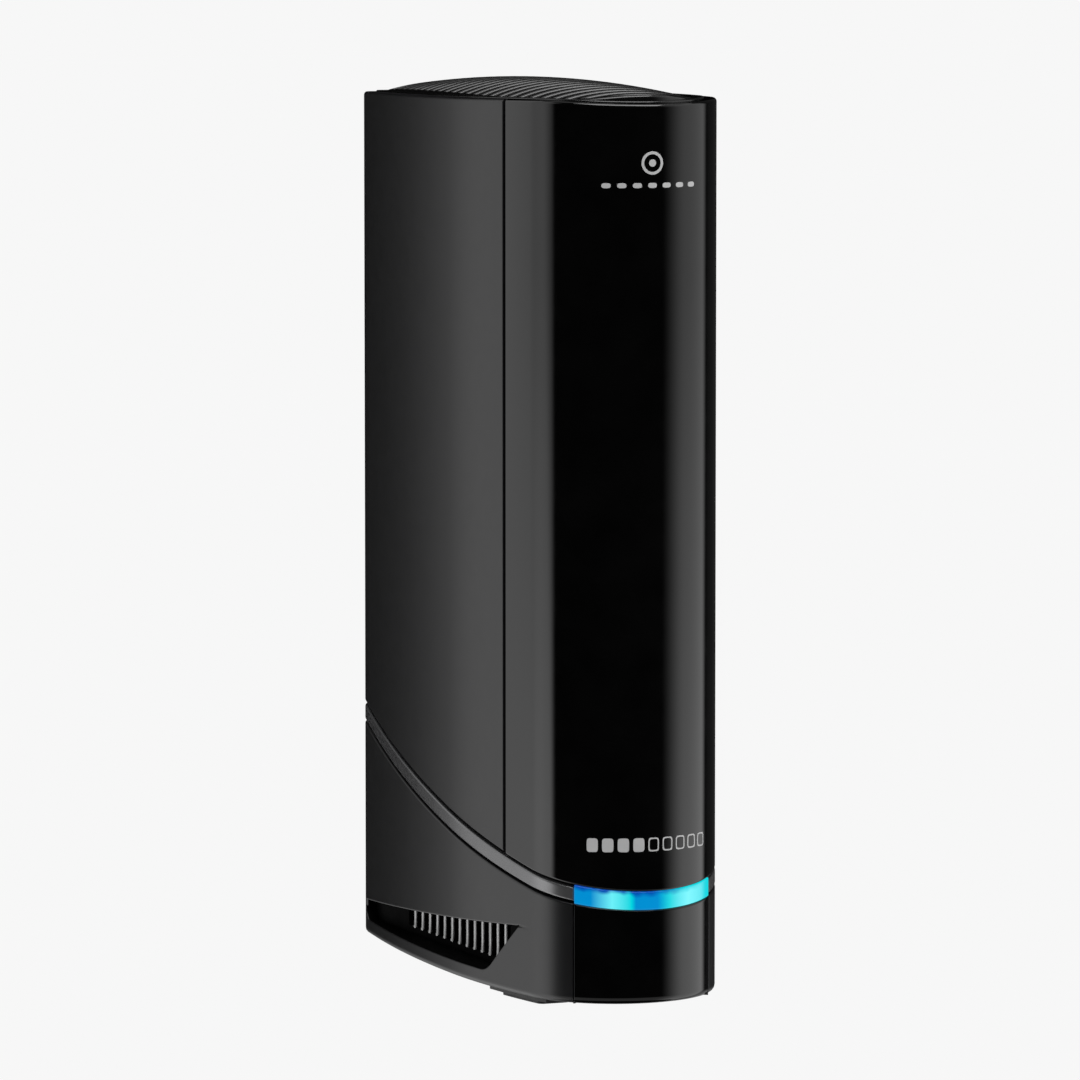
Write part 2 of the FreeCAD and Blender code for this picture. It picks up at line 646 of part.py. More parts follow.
def top_grille():
    """Domed grille: a rim and curved louvers, all as high as the crowned surface."""
    cap = dome_block().common(prism(GRILLE_INSET, GRILLE_BOTTOM, TOTAL_HEIGHT + 2))
    rim = [e for e in cap.Edges if e.BoundBox.ZMin > GRILLE_BOTTOM + 1 and e.BoundBox.ZLength < 4
           and not (e.BoundBox.XLength < 0.01 and e.BoundBox.YLength < 0.01)]
    cap = cap.makeFillet(DOME_EDGE_RADIUS, rim)
    louvers = [cap.common(louver_strip(number)) for number in range(LOUVER_COUNT)]
    frame = cap.common(sleeve(GRILLE_INSET, GRILLE_FRAME_WIDTH, GRILLE_BOTTOM, TOTAL_HEIGHT + 2))
    spine = slab((-SPINE_WIDTH / 2, SPINE_WIDTH / 2), (GRILLE_INSET + 1, BODY_DEPTH - GRILLE_INSET - 1),
                 (GRILLE_BOTTOM, GRILLE_BOTTOM + SPINE_WIDTH))
    return join([frame, spine] + louvers)


# ---- Base ------------------------------------------------------------------------------------
def foot_block(span, inset, bottom, top):
    """Pair of blocks under the left and right edges of the body."""
    ring = sleeve(inset, FOOT_WIDTH, bottom, top)
    return ring.common(slab((-FAR, FAR), span, (bottom - 1, top + 1)))


def bottom_plate():
    plate = prism(WALL + FIT_GAP, PLATE_BOTTOM, PLATE_TOP)
    pieces = [plate]
    for span, inset in FEET:
        pieces.append(foot_block(span, inset, PAD_HEIGHT, BODY_BOTTOM))
        pieces.append(foot_block(span, max(inset, WALL + FIT_GAP), PAD_HEIGHT, PLATE_TOP))
    for x, depth in CASE_SCREWS:
        pieces.append(rod(PLATE_BOSS_RADIUS, x, depth, PLATE_BOTTOM,
                          SCREW_BOSS_BOTTOM - FIT_GAP - PLATE_BOTTOM, UP))
    plate = join(pieces)
    for x, depth in CASE_SCREWS:
        plate = plate.cut(rod(SCREW_WELL, x, depth, PLATE_BOTTOM - 1, SCREW_SEAT - PLATE_BOTTOM + 1, UP))
        plate = plate.cut(rod(SCREW_PASSAGE, x, depth, PLATE_BOTTOM - 1, FAR, UP))
    for number in range(BASE_SLOT_COUNT):
        start = BASE_SLOT_FIRST + number * BASE_SLOT_PITCH
        plate = plate.cut(slab((-BASE_SLOT[0] / 2, BASE_SLOT[0] / 2), (start, start + BASE_SLOT[1]),
                               (PLATE_BOTTOM - 1, PLATE_TOP + 1)))
    return plate


def rubber_feet():
    pads = []
    for span, inset in FEET:
        inner_span = (span[0] + PAD_END_GAP, span[1] - PAD_END_GAP)
        for pad in foot_block(inner_span, inset + PAD_MARGIN, 0, PAD_HEIGHT).Solids:
            upright = [e for e in pad.Edges if e.BoundBox.ZLength > PAD_HEIGHT - 0.01]
            pads.append(pad.makeFillet(PAD_CORNER, upright))
    return Part.makeCompound(pads)


def rating_label():
    return slab((-LABEL_SIZE[0] / 2, LABEL_SIZE[0] / 2), (LABEL_DEPTH, LABEL_DEPTH + LABEL_SIZE[1]),
                (PLATE_BOTTOM - LABEL_THICKNESS, PLATE_BOTTOM))


def case_screws():
    """Four pan-head screws with crossed recesses that hold the bottom plate."""
    radius, height = CASE_SCREW_HEAD
    arm, half = RECESS_ARM
    recess_top = SCREW_SEAT - height + RECESS_DEPTH
    screws = []
    for x, depth in CASE_SCREWS:
        head = rod(radius, x, depth, SCREW_SEAT - height, height, UP)
        head = head.cut(slab((x - half, x + half), (depth - arm, depth + arm), (0, recess_top)))
        head = head.cut(slab((x - arm, x + arm), (depth - half, depth + half), (0, recess_top)))
        shank = rod(CASE_SCREW_SHANK[0], x, depth, SCREW_SEAT, CASE_SCREW_SHANK[1], UP)
        screws.append(join([head, shank]))
    return Part.makeCompound(screws)


# ---- Inner frame -----------------------------------------------------------------------------
def inner_frame():
    """Sleeve strips behind every seam, with bosses for the main board and the nose screws."""
    wall = sleeve(FRAME_INSET, FRAME_WALL, FRAME_BOTTOM, FRAME_RING[1])
    wall = wall.common(slab((-FAR, FAR), (-5, FRAME_END), (0, TOTAL_HEIGHT)))
    strips = [side_block((TRIM_LOWER, -FRAME_BAND), (TRIM_UPPER, FRAME_BAND)),
              slab((-FAR, FAR), (-5, FRAME_END + 1), FRAME_RING),
              slab((-FAR, FAR), (-5, FRAME_NOSE_END), (FRAME_BOTTOM, TRIM_UPPER[0][1]))]
    for span in (FRAME_FRONT_STRIP, FRAME_REAR_STRIP):
        upper = slab((-FAR, FAR), span, (0, FRAME_RING[1]))
        strips.append(upper.common(above_trim()))
    pieces = [wall.common(strip) for strip in strips]
    for depth, z in BOARD_SCREWS:
        boss = rod(BOARD_BOSS_RADIUS, BOARD_BACK, depth, z, FAR, ACROSS)
        pieces.append(boss.common(prism(FRAME_INSET + FIT_GAP, 0, TOTAL_HEIGHT)))
    for x, depth in CASE_SCREWS[:2]:
        pieces.append(rod(FRONT_BOSS_RADIUS, x, depth, SCREW_BOSS_BOTTOM,
                          SCREW_BOSS_TOP - SCREW_BOSS_BOTTOM, UP))
    for x in (-LIGHT_STAND_X, LIGHT_STAND_X):
        pieces.append(slab((x - LIGHT_STAND_HALF, x + LIGHT_STAND_HALF),
                           (LIGHT_STAND_START, LED_BOARD_DEPTH[0]), LIGHT_STAND_HEIGHTS))
    frame = join(pieces)
    window = side_block((TRIM_LOWER, -WINDOW_MARGIN), (TRIM_UPPER, WINDOW_MARGIN))
    window = window.common(slab((-WINDOW_HALF, WINDOW_HALF), (-5, WINDOW_END), (0, TOTAL_HEIGHT)))
    frame = frame.cut(window)
    for depth, z in BOARD_SCREWS:
        frame = frame.cut(rod(BOARD_BOSS_HOLE[0], BOARD_BACK - 1, depth, z, BOARD_BOSS_HOLE[1] + 1,
                              ACROSS))
    for x, depth in CASE_SCREWS[:2]:
        frame = frame.cut(rod(BOSS_HOLE, x, depth, SCREW_BOSS_BOTTOM - 1,
                              SCREW_BOSS_TOP - SCREW_BOSS_BOTTOM, UP))
    return frame


# ---- Light bar electronics -------------------------------------------------------------------
def light_guide():
    """Curved bar behind the window that spreads the light of the LEDs."""
    band = side_block((TRIM_LOWER, GROOVE / 4), (TRIM_UPPER, -GROOVE / 4))
    zone = slab((-GUIDE_HALF, GUIDE_HALF), (-5, GUIDE_END), (0, TOTAL_HEIGHT))
    wall = sleeve(GUIDE_INSET[0], GUIDE_INSET[1] - GUIDE_INSET[0], 0, TOTAL_HEIGHT)
    return wall.common(band).common(zone)


def led_board():
    return slab((-LED_BOARD_HALF, LED_BOARD_HALF), LED_BOARD_DEPTH, LED_BOARD_HEIGHTS)


def status_leds():
    z = TRIM_LOWER[0][1] + LED_RISE
    return Part.makeCompound([slab((x - LED_SIZE[0], x + LED_SIZE[0]),
                                   (LED_BOARD_DEPTH[0] - LED_SIZE[1], LED_BOARD_DEPTH[0]),
                                   (z - LED_SIZE[2], z + LED_SIZE[2])) for x in LED_PLACES])


def cable_sockets():
    on_led_board = slab((-SOCKET_HALF, SOCKET_HALF), (LED_BOARD_DEPTH[1], CABLE_DEPTHS[0]), SOCKET_HEIGHTS)
    on_main_board = slab((CABLE_X[1] - SOCKET_HALF, BOARD_X),
                         (CABLE_DEPTHS[1], CABLE_DEPTHS[1] + SOCKET_LENGTH), SOCKET_HEIGHTS)
    return Part.makeCompound([on_led_board, on_main_board])


def led_flat_cable():
    """Flat cable in an S bend of two equal tangent arcs between the two sockets."""
    dx = CABLE_X[1] - CABLE_X[0]
    dd = CABLE_DEPTHS[1] - CABLE_DEPTHS[0]
    radius = (dx * dx + dd * dd) / (4 * dx)
    turn = 2 * math.atan(dx / dd)
    z = CABLE_HEIGHTS[0]

    def arcs(shift):
        """Both arcs, moved sideways by shift, as start, middle and end points."""
        first = []
        second = []
        for part in (0.0, 0.5, 1.0):
            angle = part * turn
            r1 = radius - shift
            first.append(place(CABLE_X[0] + radius - r1 * math.cos(angle),
                               CABLE_DEPTHS[0] + r1 * math.sin(angle), z))
            r2 = radius + shift
            back = (1 - part) * turn
            second.append(place(CABLE_X[1] - radius + r2 * math.cos(back),
                                CABLE_DEPTHS[1] - r2 * math.sin(back), z))
        return first, second

    one = arcs(CABLE_THICKNESS / 2)
    two = arcs(-CABLE_THICKNESS / 2)
    edges = [arc_edge(*one[0]), arc_edge(*one[1]), line_edge(one[1][2], two[1][2]),
             arc_edge(*reversed(two[1])), arc_edge(*reversed(two[0])), line_edge(two[0][0], one[0][0])]
    face = Part.Face(Part.Wire(edges))
    return face.extrude(FreeCAD.Vector(0, 0, CABLE_HEIGHTS[1] - z))


# ---- Main board and what is on it ------------------------------------------------------------
def main_board():
    board = slab((BOARD_X, BOARD_BACK), BOARD_SPAN, BOARD_HEIGHTS)
    for depth, z in BOARD_SCREWS + SINK_SCREWS:
        board = board.cut(rod(BOARD_HOLE, BOARD_X - 1, depth, z, BOARD_THICKNESS + 2, ACROSS))
    return board


def board_screws():
    """Four screws through the main board into the bosses of the inner frame."""
    radius, height = INNER_SCREW_HEAD
    arm, half = RECESS_ARM
    screws = []
    for depth, z in BOARD_SCREWS:
        head = rod(radius, BOARD_X - height, depth, z, height, ACROSS)
        head = head.cut(slab((0, BOARD_X - height + RECESS_DEPTH), (depth - half, depth + half),
                             (z - arm, z + arm)))
        screws.append(join([head, rod(INNER_SHANK, BOARD_X, depth, z, BOARD_SHANK_LENGTH, ACROSS)]))
    return Part.makeCompound(screws)


def on_board(depth, z, size, height):
    """Flat block soldered on the component side."""
    return slab((BOARD_X - height, BOARD_X), (depth - size[0] / 2, depth + size[0] / 2),
                (z - size[1] / 2, z + size[1] / 2))


def heat_sink():
    base = slab(SINK_BASE, SINK_SPAN, SINK_HEIGHTS)
    step = (SINK_SPAN[1] - SINK_SPAN[0] - FIN_THICKNESS) / (FIN_COUNT - 1)
    fins = []
    for number in range(FIN_COUNT):
        start = SINK_SPAN[0] + number * step
        fins.append(slab((FIN_TIP, SINK_BASE[0]), (start, start + FIN_THICKNESS), SINK_HEIGHTS))
    sink = join([base] + fins)
    for depth, z in SINK_SCREWS:
        sink = sink.cut(rod(SINK_HOLE, SINK_BASE[1] - SINK_HOLE_DEPTH, depth, z, FAR, ACROSS))
    return sink


def heat_sink_spacers():
    tubes = []
    for depth, z in SINK_SCREWS:
        tube = rod(SPACER_RADIUS, SINK_BASE[1], depth, z, BOARD_X - SINK_BASE[1], ACROSS)
        tubes.append(tube.cut(rod(SPACER_BORE, 0, depth, z, FAR, ACROSS)))
    return Part.makeCompound(tubes)


def heat_sink_screws():
    screws = []
    for depth, z in SINK_SCREWS:
        head = rod(SINK_SCREW_HEAD[0], BOARD_BACK, depth, z, SINK_SCREW_HEAD[1], ACROSS)
        start = SINK_BASE[1] - SINK_HOLE_DEPTH + FIT_GAP
        screws.append(join([head, rod(INNER_SHANK, start, depth, z, BOARD_BACK - start, ACROSS)]))
    return Part.makeCompound(screws)


def power_capacitors():
    cans = []
    for depth, z in CAPACITORS:
        can = rod(CAPACITOR_RADIUS, BOARD_X - CAPACITOR_HEIGHT, depth, z, CAPACITOR_HEIGHT, ACROSS)
        rims = [e for e in can.Edges if e.BoundBox.XLength < 0.01]
        cans.append(can.makeFillet(CAPACITOR_ROUND, rims))
    return Part.makeCompound(cans)


def power_inductors():
    return Part.makeCompound([on_board(depth, z, INDUCTOR_SIZE, INDUCTOR_HEIGHT) for depth, z in INDUCTORS])


def memory_chips():
    return Part.makeCompound([on_board(depth, z, MEMORY_SIZE, MEMORY_HEIGHT) for depth, z in MEMORY_CHIPS])


def tuner_shield():
    """Open-backed sheet-metal can over the tuner, with rows of cooling holes."""
    depth, z = TUNER_PLACE
    can = on_board(depth, z, TUNER_CAN_SIZE, TUNER_CAN_HEIGHT)
    inner_size = (TUNER_CAN_SIZE[0] - 2 * CAN_SHEET, TUNER_CAN_SIZE[1] - 2 * CAN_SHEET)
    can = can.cut(on_board(depth, z, inner_size, TUNER_CAN_HEIGHT - CAN_SHEET))
    for row in (-1, 0, 1):
        for column in (-2, -1, 0, 1, 2):
            hole = rod(CAN_HOLE_RADIUS, 0, depth + column * CAN_HOLE_PITCH, z + row * CAN_HOLE_PITCH,
                       BOARD_X - 1, ACROSS)
            can = can.cut(hole)
    return can


# ---- Connectors ------------------------------------------------------------------------------
def rear_panel():
    """Recessed panel with cut-outs for the button and the four connectors."""
    panel = slab((-PANEL_HALF, PANEL_HALF), (PANEL_INNER, PANEL_OUTER), (PANEL_BOTTOM, PANEL_TOP))
    panel = panel.common(prism(WALL + FIT_GAP, 0, TOTAL_HEIGHT))
    gap = FIT_GAP
    for z in JACK_HEIGHTS:
        panel = panel.cut(slab((JACK_X[0] - gap, JACK_X[1] + gap), (PANEL_INNER - 1, PANEL_OUTER + 1),
                               (z - JACK_HALF - gap, z + JACK_HALF + gap)))
    panel = panel.cut(slab((POWER_BODY_X[0] - gap, POWER_BODY_X[1] + gap),
                           (PANEL_INNER - 1, PANEL_OUTER + 1),
                           (POWER_PLACE[1] - POWER_HALF - gap, POWER_PLACE[1] + POWER_HALF + gap)))
    panel = panel.cut(rod(COAX_THREAD_RADIUS + gap, COAX_PLACE[0], PANEL_INNER - 1, COAX_PLACE[1], FAR,
                          ALONG))
    return panel.cut(rod(RESET_HOLE, RESET_PLACE[0], PANEL_INNER - 1, RESET_PLACE[1], FAR, ALONG))


def jack_pocket(z, grow=0.0):
    """Space for a network plug and its latch."""
    span = (JACK_SPAN[1] - PLUG_DEPTH, JACK_SPAN[1] + 1)
    plug = slab((PLUG_X[0] - grow, PLUG_X[1] + grow), span, (z - PLUG_HALF - grow, z + PLUG_HALF + grow))
    latch = slab((LATCH_X[0] - grow, LATCH_X[1]), span, (z - LATCH_HALF - grow, z + LATCH_HALF + grow))
    return join([plug, latch])


def pipe_blocks(z, grow=0.0):
    blocks = []
    for low, high in ((PIPE_Z[0], PIPE_Z[1]), (-PIPE_Z[1], -PIPE_Z[0])):
        blocks.append(slab((PIPE_X[0] - grow, PIPE_X[1] + grow),
                           (JACK_SPAN[1] - PIPE_LENGTH - grow, JACK_SPAN[1] + grow),
                           (z + low - grow, z + high + grow)))
    return blocks


def ethernet_jack(z):
    """Plastic housing of one network jack."""
    edge = SHIELD_SHEET + TIGHT_GAP
    body = slab((JACK_X[0] + edge, JACK_X[1] - edge), (JACK_SPAN[0], JACK_SPAN[1] - edge),
                (z - JACK_HALF + edge, z + JACK_HALF - edge))
    body = body.cut(jack_pocket(z))
    for block in pipe_blocks(z, TIGHT_GAP):
        body = body.cut(block)
    for slot in contact_slots(z):
        body = body.cut(slot)
    return body


def ethernet_shield(z):
    """Thin metal shell round a network jack, open at the back."""
    shell = slab(JACK_X, JACK_SPAN, (z - JACK_HALF, z + JACK_HALF))
    inner = slab((JACK_X[0] + SHIELD_SHEET, JACK_X[1] - SHIELD_SHEET),
                 (JACK_SPAN[0] - 1, JACK_SPAN[1] - SHIELD_SHEET),
                 (z - JACK_HALF + SHIELD_SHEET, z + JACK_HALF - SHIELD_SHEET))
    shell = shell.cut(inner).cut(jack_pocket(z, TIGHT_GAP))
    for block in pipe_blocks(z, TIGHT_GAP):
        shell = shell.cut(block)
    return shell


def contact_heights(z):
    return [z + (number - (CONTACT_COUNT - 1) / 2) * CONTACT_PITCH for number in range(CONTACT_COUNT)]


def contact_wires(z):
    """Eight springy contacts that slope down into the plug space."""
    wires = []
    top = PLUG_X[1] + CONTACT_ROOT
    tip = PLUG_X[1] - CONTACT_DROP
    back = CONTACT_FRONT - CONTACT_RUN
    for height in contact_heights(z):
        low = height - CONTACT_WIDTH / 2
        points = [(top, CONTACT_FRONT), (top, CONTACT_FRONT - CONTACT_THICKNESS),
                  (tip, back - CONTACT_THICKNESS), (tip, back)]
        corners = [place(x, depth, low) for x, depth in points]
        corners.append(corners[0])
        face = Part.Face(Part.makePolygon(corners))
        wires.append(face.extrude(FreeCAD.Vector(0, 0, CONTACT_WIDTH)))
    return wires


def contact_slots(z):
    """Slots in the housing that hold the fixed ends of the contacts."""
    half = CONTACT_WIDTH / 2 + TIGHT_GAP
    x_span = (PLUG_X[1] - TIGHT_GAP, PLUG_X[1] + CONTACT_ROOT + TIGHT_GAP)
    depths = (CONTACT_FRONT - CONTACT_SLOT_LENGTH, CONTACT_FRONT + 2 * TIGHT_GAP)
    return [slab(x_span, depths, (height - half, height + half)) for height in contact_heights(z)]


def ethernet_contacts():
    return Part.makeCompound([wire for z in JACK_HEIGHTS for wire in contact_wires(z)])


def jack_light_pipes():
    return Part.makeCompound([block for z in JACK_HEIGHTS for block in pipe_blocks(z)])


def thread_profile(x, z):
    """Half section of the turned end, from the bore to the thread's crests."""
    crest = COAX_THREAD_RADIUS
    root = crest - COAX_THREAD_DEPTH
    points = [(COAX_BORE, COAX_SHOULDER[1]), (COAX_SHANK_RADIUS, COAX_SHOULDER[1]),
              (COAX_SHANK_RADIUS, COAX_THREAD_START)]
    for number in range(COAX_CREST_COUNT):
        depth = COAX_THREAD_START + number * COAX_THREAD_PITCH
        points += [(crest, depth), (crest, depth + COAX_CREST), (root, depth + COAX_THREAD_PITCH / 2)]
    points += [(root, COAX_TIP), (COAX_BORE, COAX_TIP)]
    corners = [place(x + radius, along, z) for radius, along in points]
    corners.append(corners[0])
    return Part.Face(Part.makePolygon(corners))


def coax_connector():
    """Threaded coaxial socket: turned end, round shoulder and a block on the board."""
    x, z = COAX_PLACE
    start, end = COAX_SHOULDER
    turned = thread_profile(x, z).revolve(place(x, 0, z), ALONG, 360)
    shoulder = rod(COAX_SHOULDER_RADIUS, x, start, z, end - start, ALONG)
    shoulder = shoulder.cut(rod(COAX_BORE, x, start + COAX_FLOOR, z, FAR, ALONG))
    block = slab((x - COAX_BLOCK_HALF[0], BOARD_X), (COAX_BLOCK_START, start),
                 (z - COAX_BLOCK_HALF[1], z + COAX_BLOCK_HALF[1]))
    return join([turned, shoulder, block])


def coax_insulator():
    x, z = COAX_PLACE
    start = COAX_SHOULDER[0] + COAX_FLOOR + TIGHT_GAP
    plug = rod(COAX_BORE - TIGHT_GAP, x, start, z, COAX_TIP - COAX_INSULATOR_RECESS - start, ALONG)
    return plug.cut(rod(COAX_CONTACT_RADIUS + TIGHT_GAP, x, start - 1, z, FAR, ALONG))


def coax_contact():
    """Split sleeve that grips the centre wire of a coaxial cable."""
    x, z = COAX_PLACE
    start = COAX_SHOULDER[0] + COAX_FLOOR + 2 * TIGHT_GAP
    tube = rod(COAX_CONTACT_RADIUS, x, start, z, COAX_TIP - COAX_CONTACT_RECESS - start, ALONG)
    return tube.cut(rod(COAX_CONTACT_BORE, x, start + COAX_CONTACT_FLOOR, z, FAR, ALONG))


def coax_washer():
    x, z = COAX_PLACE
    disc = rod(WASHER_RADIUS, x, PANEL_OUTER, z, WASHER_THICKNESS, ALONG)
    return disc.cut(rod(COAX_SHANK_RADIUS + NUT_GAP, x, PANEL_OUTER - 1, z, FAR, ALONG))


def coax_nut():
    """Thin hexagon nut with its outer corners turned away."""
    x, z = COAX_PLACE
    start = PANEL_OUTER + WASHER_THICKNESS
    corner = NUT_FLATS / 2 / math.cos(math.pi / 6)
    corners = []
    for number in range(7):
        angle = math.pi / 6 + number * math.pi / 3
        corners.append(place(x + corner * math.cos(angle), start, z + corner * math.sin(angle)))
    nut = Part.Face(Part.makePolygon(corners)).extrude(FreeCAD.Vector(0, NUT_THICKNESS, 0))
    cone = Part.makeCone(corner + NUT_THICKNESS, corner - NUT_CHAMFER, NUT_THICKNESS, place(x, start, z),
                         ALONG)
    return nut.common(cone).cut(rod(COAX_SHANK_RADIUS + NUT_GAP, x, start - 1, z, FAR, ALONG))


def power_jack():
    """Square housing with a round socket for the power plug."""
    x, z = POWER_PLACE
    floor = POWER_SPAN[1] - POWER_BORE_DEPTH
    body = slab(POWER_BODY_X, POWER_SPAN, (z - POWER_HALF, z + POWER_HALF))
    body = body.cut(rod(POWER_BORE, x, floor, z, FAR, ALONG))
    rim = Part.makeCone(POWER_BORE, POWER_BORE + POWER_RIM, POWER_RIM,
                        place(x, POWER_SPAN[1] - POWER_RIM, z), ALONG)
    return body.cut(rim).cut(rod(POWER_PIN_ROOT + TIGHT_GAP, x, POWER_SPAN[0] + 1, z, FAR, ALONG))


def power_jack_pin():
    """Stepped centre pin: a thick root held in the housing, and a slim free end."""
    x, z = POWER_PLACE
    start = POWER_SPAN[0] + 1
    floor = POWER_SPAN[1] - POWER_BORE_DEPTH
    pin = rod(POWER_PIN, x, floor, z, POWER_BORE_DEPTH - POWER_PIN_RECESS, ALONG)
    end = NOSE_Y + POWER_SPAN[1] - POWER_PIN_RECESS
    tip = [e for e in pin.Edges if e.BoundBox.YMin > end - 0.01]
    pin = pin.makeFillet(POWER_PIN_ROUND, tip)
    return join([pin, rod(POWER_PIN_ROOT, x, start, z, floor - start, ALONG)])


def reset_button():
    """Round button with a flange behind the panel; its tip works the switch."""
    x, z = RESET_PLACE
    start = SWITCH_FACE - BUTTON_INSIDE
    end = PANEL_OUTER - RESET_RECESS
    shaft = rod(RESET_SHAFT, x, start, z, end - start, ALONG)
    cap_edge = [e for e in shaft.Edges if e.BoundBox.YMin > NOSE_Y + end - 0.01]
    shaft = shaft.makeFillet(RESET_ROUND, cap_edge)
    flange_start, flange_end = RESET_FLANGE_SPAN
    flange = rod(RESET_FLANGE, x, flange_start, z, flange_end - flange_start, ALONG)
    return join([shaft, flange])


def reset_switch():
    """Push switch on the main board, with a round well for the button's tip."""
    x, z = RESET_PLACE
    body = slab((x - SWITCH_HALF, BOARD_X), (SWITCH_FACE - SWITCH_LENGTH, SWITCH_FACE),
                (z - SWITCH_HALF, z + SWITCH_HALF))
    return body.cut(rod(RESET_HOLE + TIGHT_GAP, x, SWITCH_FACE - SWITCH_BORE_DEPTH, z, FAR, ALONG))


# ---- Assembly --------------------------------------------------------------------------------
def main():
    wall = skin()
    left_cover = side_cover(wall)
    left_trim = side_trim(wall)
    left_vent = side_vent()
    save("left_side_cover", left_cover)
    save("right_side_cover", mirror_x(left_cover))
    save("front_panel", front_panel(wall))
    save("lower_front_panel", lower_front_panel(wall))
    save("left_curved_trim", left_trim)
    save("right_curved_trim", mirror_x(left_trim))
    save("light_bar", light_bar(wall))
    save("base_skirt", base_skirt(wall))
    save("left_side_vent", left_vent)
    save("right_side_vent", mirror_x(left_vent))
    save("top_ring", top_ring())
    save("top_grille", top_grille())
    save("rear_panel", rear_panel())
    save("bottom_plate", bottom_plate())
    save("rubber_feet", rubber_feet())
    save("rating_label", rating_label())
    save("case_screws", case_screws())
    save("inner_frame", inner_frame())

    save("light_guide", light_guide())
    save("led_board", led_board())
    save("status_leds", status_leds())
    save("flat_cable_sockets", cable_sockets())
    save("led_flat_cable", led_flat_cable())

    save("main_board", main_board())
    save("board_screws", board_screws())
    save("modem_processor", on_board(CHIP_PLACE[0], CHIP_PLACE[1], (CHIP_SIZE, CHIP_SIZE),
                                     BOARD_X - CHIP_FACE))
    save("thermal_pad", slab((SINK_BASE[1], CHIP_FACE),
                             (CHIP_PLACE[0] - CHIP_SIZE / 2, CHIP_PLACE[0] + CHIP_SIZE / 2),
                             (CHIP_PLACE[1] - CHIP_SIZE / 2, CHIP_PLACE[1] + CHIP_SIZE / 2)))
    save("heat_sink", heat_sink())
    save("heat_sink_spacers", heat_sink_spacers())
    save("heat_sink_screws", heat_sink_screws())
    save("memory_chips", memory_chips())
    save("flash_chip", on_board(*FLASH_CHIP, FLASH_SIZE, SMALL_CHIP_HEIGHT))
    save("clock_crystal", on_board(*CRYSTAL, CRYSTAL_SIZE, CRYSTAL_HEIGHT))
    save("power_inductors", power_inductors())
    save("power_capacitors", power_capacitors())
    save("tuner_chip", on_board(*TUNER_PLACE, TUNER_CHIP_SIZE, SMALL_CHIP_HEIGHT))
    save("tuner_shield", tuner_shield())

    save("coax_connector", coax_connector())
    save("coax_insulator", coax_insulator())
    save("coax_contact", coax_contact())
    save("coax_washer", coax_washer())
    save("coax_nut", coax_nut())
    for name, z in zip(("upper", "lower"), JACK_HEIGHTS):
        save(name + "_ethernet_jack", ethernet_jack(z))
        save(name + "_ethernet_shield", ethernet_shield(z))
    save("ethernet_contacts", ethernet_contacts())
    save("jack_light_pipes", jack_light_pipes())
    save("power_jack", power_jack())
    save("power_jack_pin", power_jack_pin())
    save("reset_button", reset_button())
    save("reset_switch", reset_switch())


main()
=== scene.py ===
import json
import math

import bmesh
import bpy
from mathutils import Matrix, Vector

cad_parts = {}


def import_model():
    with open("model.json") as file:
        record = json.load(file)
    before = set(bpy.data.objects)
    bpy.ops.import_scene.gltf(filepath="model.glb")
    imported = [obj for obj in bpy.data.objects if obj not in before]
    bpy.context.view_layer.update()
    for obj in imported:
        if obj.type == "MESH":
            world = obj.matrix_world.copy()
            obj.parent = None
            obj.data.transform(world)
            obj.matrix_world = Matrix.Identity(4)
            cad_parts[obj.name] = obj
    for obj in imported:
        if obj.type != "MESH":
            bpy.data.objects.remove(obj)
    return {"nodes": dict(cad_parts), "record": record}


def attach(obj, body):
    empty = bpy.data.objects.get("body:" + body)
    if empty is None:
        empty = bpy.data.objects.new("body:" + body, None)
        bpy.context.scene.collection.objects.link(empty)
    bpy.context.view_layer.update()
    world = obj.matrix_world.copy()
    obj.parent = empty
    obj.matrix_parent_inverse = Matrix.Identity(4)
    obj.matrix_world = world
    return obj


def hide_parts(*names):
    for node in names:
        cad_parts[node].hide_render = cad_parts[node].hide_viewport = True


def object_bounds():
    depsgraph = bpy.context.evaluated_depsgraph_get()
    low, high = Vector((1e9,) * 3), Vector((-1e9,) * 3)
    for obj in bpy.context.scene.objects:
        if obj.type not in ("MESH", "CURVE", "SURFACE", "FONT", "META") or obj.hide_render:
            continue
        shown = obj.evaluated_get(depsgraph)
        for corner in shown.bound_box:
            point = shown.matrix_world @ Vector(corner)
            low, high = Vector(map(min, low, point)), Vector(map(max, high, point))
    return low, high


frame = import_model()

# A free-standing cable modem.  Metres, +Z up, the rounded nose faces -Y, the connectors face +Y.

CAD_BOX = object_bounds()
NOSE_Y = CAD_BOX[0].y
TOTAL_HEIGHT = CAD_BOX[1].z
MM = 0.001


